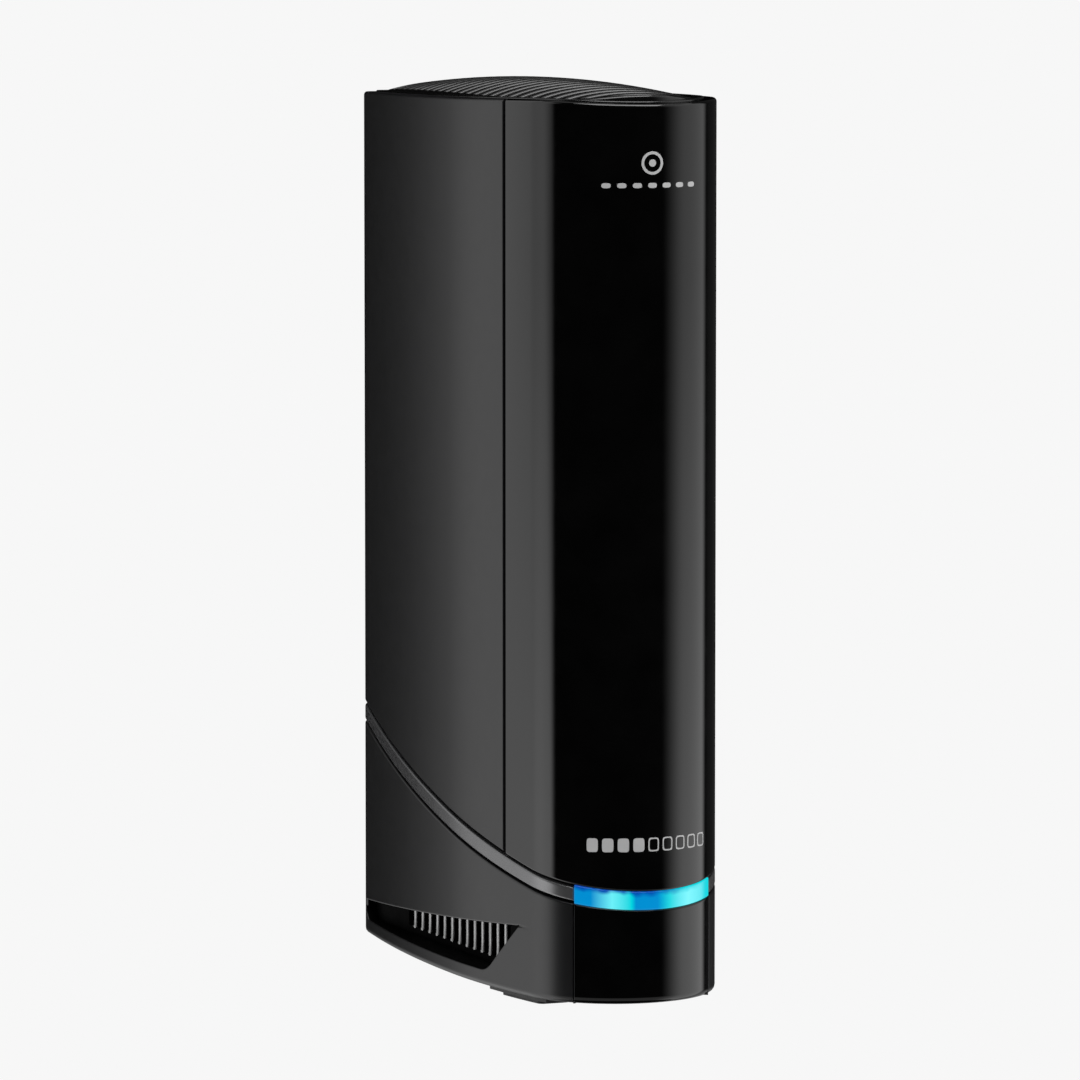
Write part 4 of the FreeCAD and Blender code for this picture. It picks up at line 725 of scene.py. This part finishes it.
# ---- Side vents ----
SCOOP_SPAN = (20.6, 119.8)
SCOOP_FLOOR = (3.9, 4.9)
SCOOP_CEILING = (18.3, 19.5)
SCOOP_INSET = 2.4
SCOOP_WALL = 1.6
SLAT_BACK = 16.6
SLAT_FACE = 18.4
SLAT_ROUND = 1.0  # depth of a slat's rounded face
SLAT_STEPS = 10
SLAT_PROUD = 0.2  # the slats' faces stand this far before the wall
SLAT_TURN = 0.55  # a face whose outward normal has more x than this gets the pale painted-highlight finish
SLAT_FIRST = 41.0
SLAT_PITCH = 4.55
SLAT_COUNT = 13
SLAT_HALF = 1.15
SLAT_HEIGHTS = (6.4, 17.8)
# (height, share of the full width) from the foot to the head of a slat
SLAT_PROFILE = ((6.2, 1.0), (6.6, 1.0), (6.9, 0.86), (9.0, 0.84), (12.0, 0.86), (15.0, 0.84), (18.0, 0.72))


def side_point(depth, inset=0.0):
    """Distance of the left side from the middle plane at a depth, with the outline moved inward."""
    for centre_x, centre_depth, radius, _, last in ARCS[:3]:
        if depth <= centre_depth - radius * math.cos(last):
            break
    reach = (radius - inset) ** 2 - (depth - centre_depth) ** 2
    return math.sqrt(max(reach, 0.0)) - centre_x


def add_box(work, x_span, depth_span, height_span):
    """Box in a bmesh; spans in millimetres."""
    corners = [work.verts.new(spot(x, depth, height)) for height in height_span
               for x, depth in ((x_span[0], depth_span[0]), (x_span[1], depth_span[0]),
                                (x_span[1], depth_span[1]), (x_span[0], depth_span[1]))]
    for face in ((0, 1, 2, 3), (4, 5, 6, 7), (0, 1, 5, 4), (1, 2, 6, 5), (2, 3, 7, 6), (3, 0, 4, 7)):
        work.faces.new([corners[index] for index in face])


def join_loops(work, loops, caps=True):
    """Skin between successive closed loops of vertices, with a face on each end."""
    for low, high in zip(loops, loops[1:]):
        for index in range(len(low)):
            after = (index + 1) % len(low)
            work.faces.new((low[index], low[after], high[after], high[index]))
    if caps:
        work.faces.new(loops[0])
        work.faces.new(loops[-1])


def scoop_shelf(work, side, heights):
    """Floor or ceiling of a scoop, from the slat wall to the inside of the skirt."""
    loops = []
    for depth in spread(SCOOP_SPAN[0], SCOOP_SPAN[1], 4.0):
        reach = side_point(depth, SCOOP_INSET)
        corners = ((SLAT_BACK, heights[0]), (reach, heights[0]), (reach, heights[1]), (SLAT_BACK, heights[1]))
        loops.append([work.verts.new(spot(side * x, depth, height)) for x, height in corners])
    join_loops(work, loops)


def vent_channel(side, name):
    """Channel behind a scoop opening, near-black: painted shade from its finish."""
    work = bmesh.new()
    scoop_shelf(work, side, SCOOP_FLOOR)
    scoop_shelf(work, side, SCOOP_CEILING)
    wall = tuple(sorted((side * SLAT_BACK, side * (SLAT_FACE - SLAT_PROUD))))
    front = SCOOP_SPAN[0] + SCOOP_WALL
    reach = side_point(SCOOP_SPAN[0] + SCOOP_WALL / 2, SCOOP_INSET)
    mouth = tuple(sorted((side * SLAT_BACK, side * reach)))
    inside = (SCOOP_FLOOR[1], SCOOP_CEILING[0])
    add_box(work, mouth, (SCOOP_SPAN[0], front), inside)
    first_gap = SLAT_FIRST - SLAT_PITCH + SLAT_HALF
    last_gap = SLAT_FIRST + SLAT_COUNT * SLAT_PITCH - SLAT_HALF
    add_box(work, wall, (front, first_gap), inside)
    add_box(work, wall, (last_gap, SCOOP_SPAN[1]), inside)
    add_box(work, wall, (first_gap, last_gap), (SCOOP_FLOOR[1], SLAT_HEIGHTS[0]))
    add_box(work, wall, (first_gap, last_gap), (SLAT_HEIGHTS[1], SCOOP_CEILING[0]))
    new_piece(name + "_channel", work, "vent_plastic", name)


def vent_slats(side, name):
    """Upright slats with rounded faces and a wider foot on each."""
    work = bmesh.new()
    for number in range(SLAT_COUNT):
        middle = SLAT_FIRST + number * SLAT_PITCH
        loops = []
        for height, share in SLAT_PROFILE:
            loop = [(SLAT_BACK, middle - SLAT_HALF * share)]
            for step in range(SLAT_STEPS + 1):
                turn = math.pi * step / SLAT_STEPS
                reach = SLAT_FACE - SLAT_ROUND + share * SLAT_ROUND * math.sin(turn)
                loop.append((reach, middle - SLAT_HALF * share * math.cos(turn)))
            loop.append((SLAT_BACK, middle + SLAT_HALF * share))
            loops.append([work.verts.new(spot(side * x, depth, height)) for x, depth in loop])
        join_loops(work, loops)
    piece = new_piece(name + "_slats", work, "vent_plastic", name)
    piece.data.materials.append(SLAT_HIGHLIGHT_FINISH)
    # Outward faces get the pale painted highlight; the sides stay near-black as painted shade.
    for face in piece.data.polygons:
        if face.normal.x * side > SLAT_TURN:
            face.material_index = 1


# ---- Domed grille ----
DOME_ALONG = 720.0  # radius of the crown from front to back
DOME_ACROSS = 63.0
DOME_MIDDLE = 58.0
DOME_EDGE = 0.6
RIM_INNER_EDGE = 0.35
RIM_TURNS = (0.27, 0.4)  # greatest steps round its outer and inner roundings
PLAN_STEPS = (24, 16, 24)  # steps of a plan outline along each arc
BACK_STEPS = 12
GRILLE_BOTTOM = 191.4
GRILLE_RIM = (4.25, 5.95)  # insets of the rim's outer and inner faces
LOUVER_COUNT = 24
LOUVER_PITCH = 4.6
LOUVER_FIRST = 9.0
LOUVER_RADIUS = 60.0
LOUVER_HALF = 1.25
LOUVER_ROUND = 0.85
LOUVER_SEARCH = 0.004  # radians; step of the search for a louver's ends
LOUVER_TURN = 0.035  # radians; greatest step along a louver
LOUVER_TOP_TURN = 0.32
SPINE_HALF = 0.8
SPINE_HEIGHT = 1.6


def dome_height(x, depth):
    """Height of the grille's dome, crowned both ways."""
    low = TOTAL_HEIGHT / MM - DOME_ALONG
    across = DOME_ALONG - DOME_ACROSS + math.sqrt(DOME_ACROSS ** 2 - x * x)
    return low + math.sqrt(across ** 2 - (depth - DOME_MIDDLE) ** 2)


def plan_loop(inset):
    """Closed plan outline moved inward, square at the back corners: (x, depth) points."""
    left = []
    for number, (centre_x, centre_depth, radius, first, last) in enumerate(ARCS[:3]):
        if number == 2:
            last = math.pi / 2 + math.asin((BODY_DEPTH - inset - centre_depth) / (radius - inset))
        reach = radius - inset
        for angle in spread(first, last, (last - first) / PLAN_STEPS[number])[:-1]:
            left.append((centre_x - reach * math.sin(angle), centre_depth - reach * math.cos(angle)))
    corner = -side_point(BODY_DEPTH - inset, inset)
    left += [(corner * (1 - step / BACK_STEPS), BODY_DEPTH - inset) for step in range(BACK_STEPS)]
    right = [(-x, depth) for x, depth in reversed(left[1:])]
    return left + [(0.0, BODY_DEPTH - inset)] + right


def grille_rim(work):
    """Rim that follows the dome, rounded outside."""
    outside, inside = GRILLE_RIM
    profile = [(outside, None)]
    for turn in spread(0.0, math.pi / 2, RIM_TURNS[0]):
        profile.append((outside + DOME_EDGE * (1 - math.cos(turn)), -DOME_EDGE * (1 - math.sin(turn))))
    for turn in spread(0.0, math.pi / 2, RIM_TURNS[1]):
        inset = inside - RIM_INNER_EDGE * (1 - math.sin(turn))
        profile.append((inset, -RIM_INNER_EDGE * (1 - math.cos(turn))))
    profile.append((inside, None))
    loops = []
    for inset, drop in profile:
        points = plan_loop(inset)
        heights = [GRILLE_BOTTOM if drop is None else dome_height(x, depth) + drop for x, depth in points]
        loops.append([work.verts.new(spot(x, depth, height)) for (x, depth), height in zip(points, heights)])
    join_loops(work, loops + [loops[0]], caps=False)


def louver(work, number):
    """One louver with a rounded top; its ends are sunk in the rim."""
    centre = LOUVER_FIRST + number * LOUVER_PITCH - LOUVER_RADIUS
    inset = (GRILLE_RIM[0] + GRILLE_RIM[1]) / 2

    def held(turn):
        x, depth = LOUVER_RADIUS * math.sin(turn), centre + LOUVER_RADIUS * math.cos(turn)
        return depth > inset + 0.1 and x < side_point(depth, inset)

    reach = 0.0
    while held(reach + LOUVER_SEARCH):
        reach += LOUVER_SEARCH
    loops = []
    for turn in spread(-reach, reach, LOUVER_TURN):
        loop = []
        for off, drop in [(-LOUVER_HALF, None)] + LOUVER_TOP + [(LOUVER_HALF, None)]:
            radius = LOUVER_RADIUS + off
            x, depth = radius * math.sin(turn), centre + radius * math.cos(turn)
            height = GRILLE_BOTTOM if drop is None else dome_height(x, depth) - drop
            loop.append(work.verts.new(spot(x, depth, height)))
        loops.append(loop)
    join_loops(work, loops)


def louver_top():
    """Rounded top of a louver: distances across it and below the dome."""
    rounds = []
    for turn in spread(0.0, math.pi / 2, LOUVER_TOP_TURN):
        off = -LOUVER_HALF + LOUVER_ROUND * (1 - math.cos(turn))
        rounds.append((off, LOUVER_ROUND * (1 - math.sin(turn))))
    return rounds + [(-off, drop) for off, drop in reversed(rounds)]


LOUVER_TOP = louver_top()


def top_grille():
    work = bmesh.new()
    grille_rim(work)
    for number in range(LOUVER_COUNT):
        louver(work, number)
    add_box(work, (-SPINE_HALF, SPINE_HALF), (GRILLE_RIM[1], BODY_DEPTH - GRILLE_RIM[1]),
            (GRILLE_BOTTOM, GRILLE_BOTTOM + SPINE_HEIGHT))
    new_piece("top_grille_dome", work, "grille_plastic", "top_grille")


# ---- Generic marks on the nose ----
MARK_INSET = 0.003  # less than SKIN_INSET, so the marks lie on the panel
MARK_MIDDLE = -0.5
MARK_PITCH = 3.4
FILL_STEPS = 20
PATH_POINTS = 48
RING_HEIGHT = 184.0
RING_RADII = (2.5, 1.9)
DOT_RADIUS = 0.8
DASH_COUNT = 7
DASH_HEIGHT = 179.2
DASH_HALF = (1.0, 0.55)  # half the length and half the height
SQUARE_COUNT = 9
FILLED_COUNT = 4
SQUARE_HEIGHT = 36.4
SQUARE_HALF = (1.25, 1.5)
SQUARE_HOLE = (0.95, 1.2)
ROUND_POWER = 2
DASH_POWER = 3
SQUARE_POWER = 5


def on_nose(run, height):
    """Point on the nose at a distance round it; to the right is positive."""
    x, depth, out_x, out_depth = station(-run)
    return spot(x - out_x * MARK_INSET, depth - out_depth * MARK_INSET, height)


def mark_fill(work, middle, height, half, bounds):
    """Filled shape on the nose. bounds(offset) gives half its height at an offset from its middle."""
    last = None
    for step in range(FILL_STEPS + 1):
        offset = -half * math.cos(math.pi * step / FILL_STEPS)
        reach = bounds(offset)
        pair = [work.verts.new(on_nose(middle + offset, height + rise)) for rise in (-reach, reach)]
        if last:
            work.faces.new((last[0], pair[0], pair[1], last[1]))
        last = pair


def mark_outline(work, middle, height, path_out, path_in):
    """Hollow shape on the nose, between two closed paths with the same number of points."""
    loops = []
    for path in (path_out, path_in):
        loops.append([work.verts.new(on_nose(middle + run, height + rise)) for run, rise in path])
    join_loops(work, loops, caps=False)


def round_path(half_run, half_rise, power):
    """Closed path between an ellipse (power 2) and a rectangle (higher powers)."""
    path = []
    for number in range(PATH_POINTS):
        turn = 2 * math.pi * number / PATH_POINTS
        across, up = math.cos(turn), math.sin(turn)
        size = (abs(across) ** power + abs(up) ** power) ** (-1 / power)
        path.append((half_run * across * size, half_rise * up * size))
    return path


def round_bound(half, rise, power):
    """Function that gives half the height of such a shape at an offset."""
    return lambda offset: rise * max(1 - abs(offset / half) ** power, 0.0) ** (1 / power)


def ring_and_dot(work):
    outside, inside = [round_path(radius, radius, ROUND_POWER) for radius in RING_RADII]
    mark_outline(work, MARK_MIDDLE, RING_HEIGHT, outside, inside)
    mark_fill(work, MARK_MIDDLE, RING_HEIGHT, DOT_RADIUS, round_bound(DOT_RADIUS, DOT_RADIUS, ROUND_POWER))


def nose_marks():
    """Two plain patterns where such a product carries its printing: no letters and no badge."""
    work = bmesh.new()
    ring_and_dot(work)
    for number in range(DASH_COUNT):
        middle = MARK_MIDDLE + (number - DASH_COUNT // 2) * MARK_PITCH
        mark_fill(work, middle, DASH_HEIGHT, DASH_HALF[0], round_bound(*DASH_HALF, DASH_POWER))
    for number in range(SQUARE_COUNT):
        middle = (number - SQUARE_COUNT // 2) * MARK_PITCH
        if number < FILLED_COUNT:
            mark_fill(work, middle, SQUARE_HEIGHT, SQUARE_HALF[0], round_bound(*SQUARE_HALF, SQUARE_POWER))
        else:
            outside, inside = [round_path(*half, SQUARE_POWER) for half in (SQUARE_HALF, SQUARE_HOLE)]
            mark_outline(work, middle, SQUARE_HEIGHT, outside, inside)
    new_piece("nose_marks", work, "label_film")


# ---- Studio ----
COVE_RADIUS = 1.0
COVE_BOTTOM = -1.4
COVE_TOP = 1.2
COVE_COLUMNS = 360
COVE_ROWS = 52
# Azimuths in degrees where a light of the cove starts, is full, fades and ends.
LEFT_EDGES = (-161.0, -148.0, -98.0, -89.0)
CORE_EDGES = (-128.0, -108.0, -97.0, -91.0)  # a brighter part of the left light
RIGHT_EDGES = (30.0, 62.0, 91.0, 102.0)
FOOT_EDGES = (-178.0, -162.0, -122.0, -112.0)  # low at the left
SHADE_EDGES = (95.0, 110.0, 140.0, 150.0)
LEFT_GLOW = 1.04
CORE_GLOW = 0.32
RIGHT_GLOW = 1.22
FOOT_GLOW = 1.3
LOW_GLOW = 0.45  # all round, in the lower part of the cove
SHADE_GLOW = 0.035  # faint light that the grazing right edge mirrors
MIDDLE_SPAN = (-0.1, 0.2)  # start and length of the rise from low to high
UNEVEN_SPAN = (-140.0, 20.0)  # the same for the azimuth where the two part
FOOT_SPAN = (0.25, 0.25)  # start and length of the foot light, downward
LOW_SPAN = (0.2, 0.2)  # start and length of the low glow, downward
EVEN_SHARE = 0.80
LOW_SHARE = 0.48  # added low down, past the uneven azimuth
HIGH_LOSS = 0.55  # taken off again high up
HIGH_FADE_SHIFT = 10  # degrees; the left light fades earlier high up
WORLD_GREY = 0.93
FILL_GREY = 0.06
MIRROR_GREY = 0.004


def climb(value, span):
    """0 before the start of a span, 1 after its end, and even between."""
    start, length = span
    return min(max((value - start) / length, 0.0), 1.0)


def trapezium(value, edges):
    """0 outside the edges, 1 between the inner two, and smooth steps between."""
    start, full, fade, end = edges
    if value <= start or value >= end:
        return 0.0
    share = 1.0
    if value < full:
        share = (value - start) / (full - start)
    elif value > fade:
        share = (end - value) / (end - fade)
    return share * share * (3 - 2 * share)


def cove_glow(azimuth, height):
    """Brightness of the light cove in one direction from the object."""
    share = climb(height, MIDDLE_SPAN)
    even = EVEN_SHARE + (LOW_SHARE - HIGH_LOSS * share) * climb(azimuth, UNEVEN_SPAN)
    start, full, fade, end = LEFT_EDGES
    glow = LEFT_GLOW * even * trapezium(azimuth, (start, full, fade - HIGH_FADE_SHIFT * share, end))
    glow += CORE_GLOW * even * trapezium(azimuth, CORE_EDGES)
    glow += RIGHT_GLOW * even * trapezium(azimuth, RIGHT_EDGES)
    glow = max(glow, FOOT_GLOW * climb(-height, FOOT_SPAN) * trapezium(azimuth, FOOT_EDGES))
    glow += LOW_GLOW * climb(-height, LOW_SPAN) * (1.0 - min(glow, 1.0))
    return glow + SHADE_GLOW * trapezium(azimuth, SHADE_EDGES)


def cove_mesh():
    """Upright cylinder with the brightness of each point in the attribute glow."""
    work = bmesh.new()
    glows = []
    rows = []
    for row in range(COVE_ROWS + 1):
        height = COVE_BOTTOM + (COVE_TOP - COVE_BOTTOM) * row / COVE_ROWS
        ring = []
        for column in range(COVE_COLUMNS):
            azimuth = -180.0 + 360.0 * column / COVE_COLUMNS
            angle = math.radians(azimuth)
            place = (COVE_RADIUS * math.sin(angle), -COVE_RADIUS * math.cos(angle), height)
            ring.append(work.verts.new(place))
            glows.append(cove_glow(azimuth, height))
        rows.append(ring)
    for low, high in zip(rows, rows[1:]):
        for column in range(COVE_COLUMNS):
            after = (column + 1) % COVE_COLUMNS
            work.faces.new((low[after], low[column], high[column], high[after]))
    mesh = bpy.data.meshes.new("light_cove")
    work.to_mesh(mesh)
    work.free()
    mesh.attributes.new("glow", "FLOAT", "POINT").data.foreach_set("value", glows)
    return mesh


def cove_material():
    """Emission as strong as the attribute glow."""
    material = bpy.data.materials.new("light_cove")
    material.use_nodes = True
    tree = material.node_tree
    tree.nodes.clear()
    output = tree.nodes.new("ShaderNodeOutputMaterial")
    emission = tree.nodes.new("ShaderNodeEmission")
    glow = tree.nodes.new("ShaderNodeAttribute")
    glow.attribute_name = "glow"
    tree.links.new(glow.outputs["Fac"], emission.inputs["Strength"])
    tree.links.new(emission.outputs["Emission"], output.inputs["Surface"])
    return material


def light_cove():
    """Cylinder round the object that glows as tall soft lights do; the camera doesn't see it."""
    mesh = cove_mesh()
    mesh.materials.append(cove_material())
    cove = bpy.data.objects.new("light_cove", mesh)
    bpy.context.scene.collection.objects.link(cove)
    cove.visible_camera = False
    cove.visible_shadow = False


# name, place, aim, width and height, watts, and whether reflections show it
LIGHTS = (
    ("top_light", (0.0, -0.25, 1.15), (0.0, -0.25, 0.0), (1.0, 0.6), 10.5, True),
    ("back_top_light", (0.0, 0.68, 1.15), (0.0, 0.68, 0.0), (1.0, 0.9), 1.0, True),
    ("right_top_light", (0.75, -0.1, 1.1), (0.75, -0.1, 0.0), (1.2, 1.6), 3.0, True),
    ("back_fill", (0.5, 1.6, 0.6), (0.0, 0.0, 0.1), (0.8, 0.8), 16.0, False),
    ("front_fill", (-0.25, -1.6, 0.35), (0.0, 0.0, 0.1), (0.8, 0.8), 12.0, False),
)


def area_light(name, place, aim, size, power, mirrored):
    lamp = bpy.data.lights.new(name, "AREA")
    lamp.shape = "RECTANGLE"
    lamp.size, lamp.size_y = size
    lamp.energy = power
    holder = bpy.data.objects.new(name, lamp)
    holder.location = place
    holder.rotation_mode = "QUATERNION"
    holder.rotation_quaternion = (Vector(aim) - Vector(place)).to_track_quat("-Z", "Y")
    holder.visible_glossy = mirrored
    bpy.context.scene.collection.objects.link(holder)


def backdrop(tree, level):
    background = tree.nodes.new("ShaderNodeBackground")
    background.inputs["Color"].default_value = (*grey(level), 1.0)
    return background.outputs["Background"]


def choice(tree, question, if_not, if_so):
    """One of two backdrops, by a yes or no answer for each ray."""
    mix = tree.nodes.new("ShaderNodeMixShader")
    for source, target in zip((question, if_not, if_so), mix.inputs):
        tree.links.new(source, target)
    return mix.outputs["Shader"]


def world():
    """White to the camera, a little even fill for matt surfaces, and almost nothing for reflections."""
    sky = bpy.data.worlds.new("studio")
    sky.use_nodes = True
    tree = sky.node_tree
    tree.nodes.clear()
    rays = tree.nodes.new("ShaderNodeLightPath").outputs
    unseen = choice(tree, rays["Is Glossy Ray"], backdrop(tree, FILL_GREY), backdrop(tree, MIRROR_GREY))
    surface = choice(tree, rays["Is Camera Ray"], unseen, backdrop(tree, WORLD_GREY))
    tree.links.new(surface, tree.nodes.new("ShaderNodeOutputWorld").inputs["Surface"])
    bpy.context.scene.world = sky


FLOOR_HALF = 6.0


def floor():
    """Plain pale floor: mostly its own even glow, so that it meets the white of the studio."""
    mesh = bpy.data.meshes.new("floor")
    work = bmesh.new()
    signs = ((-1, -1), (1, -1), (1, 1), (-1, 1))
    work.faces.new([work.verts.new((x * FLOOR_HALF, y * FLOOR_HALF, 0.0)) for x, y in signs])
    work.to_mesh(mesh)
    work.free()
    plane = bpy.data.objects.new("floor", mesh)
    bpy.context.scene.collection.objects.link(plane)
    finish = Finish("floor", Roughness=1.0, Specular_IOR_Level=0.0, Emission_Strength=1.0)
    finish.shader.inputs["Emission Color"].default_value = (*grey(WORLD_GREY), 1.0)
    finish.colour(finish.ramp(finish.noise(0.4), [(0.3, grey(0.0)), (0.7, grey(0.001))]))
    mesh.materials.append(finish.material)
    plane.visible_glossy = False
    plane.visible_diffuse = False
    plane.visible_shadow = False


# ---- Camera ----
VIEW_YAW = math.radians(22.35)
VIEW_PITCH = math.radians(5.5)
VIEW_DISTANCE = 1.694
VIEW_LENS = 253.2
VIEW_SENSOR = 36.0
VIEW_CLIP = (0.1, 50.0)
VIEW_AIM = (0.0, -4.9 * MM, 98.5 * MM)
VIEW_OFFSET = (-2.167 * MM, -1.103 * MM)  # right and up, square to the view


def camera():
    forward = Vector((math.sin(VIEW_YAW) * math.cos(VIEW_PITCH), math.cos(VIEW_YAW) * math.cos(VIEW_PITCH),
                      -math.sin(VIEW_PITCH)))
    right = Vector((math.cos(VIEW_YAW), -math.sin(VIEW_YAW), 0.0))
    up = right.cross(forward)
    data = bpy.data.cameras.new("camera")
    data.lens = VIEW_LENS
    data.sensor_width = VIEW_SENSOR
    data.clip_start, data.clip_end = VIEW_CLIP
    holder = bpy.data.objects.new("camera", data)
    place = Vector(VIEW_AIM) - forward * VIEW_DISTANCE + right * VIEW_OFFSET[0] + up * VIEW_OFFSET[1]
    holder.matrix_world = Matrix.Translation(place) @ Matrix((right, up, -forward)).transposed().to_4x4()
    bpy.context.scene.collection.objects.link(holder)
    bpy.context.scene.camera = holder


# ---- Everything ----
dress_cad_nodes()
front_panel()
lower_front_panel()
light_bar()
base_skirt()
for side, word in ((-1, "left"), (1, "right")):
    side_cover(side, word + "_side_cover")
    side_trim(side, word + "_curved_trim")
    vent_channel(side, word + "_side_vent")
    vent_slats(side, word + "_side_vent")
top_grille()
nose_marks()
world()
floor()
light_cove()
for light in LIGHTS:
    area_light(*light)
camera()
bpy.context.scene.view_settings.view_transform = "Standard"
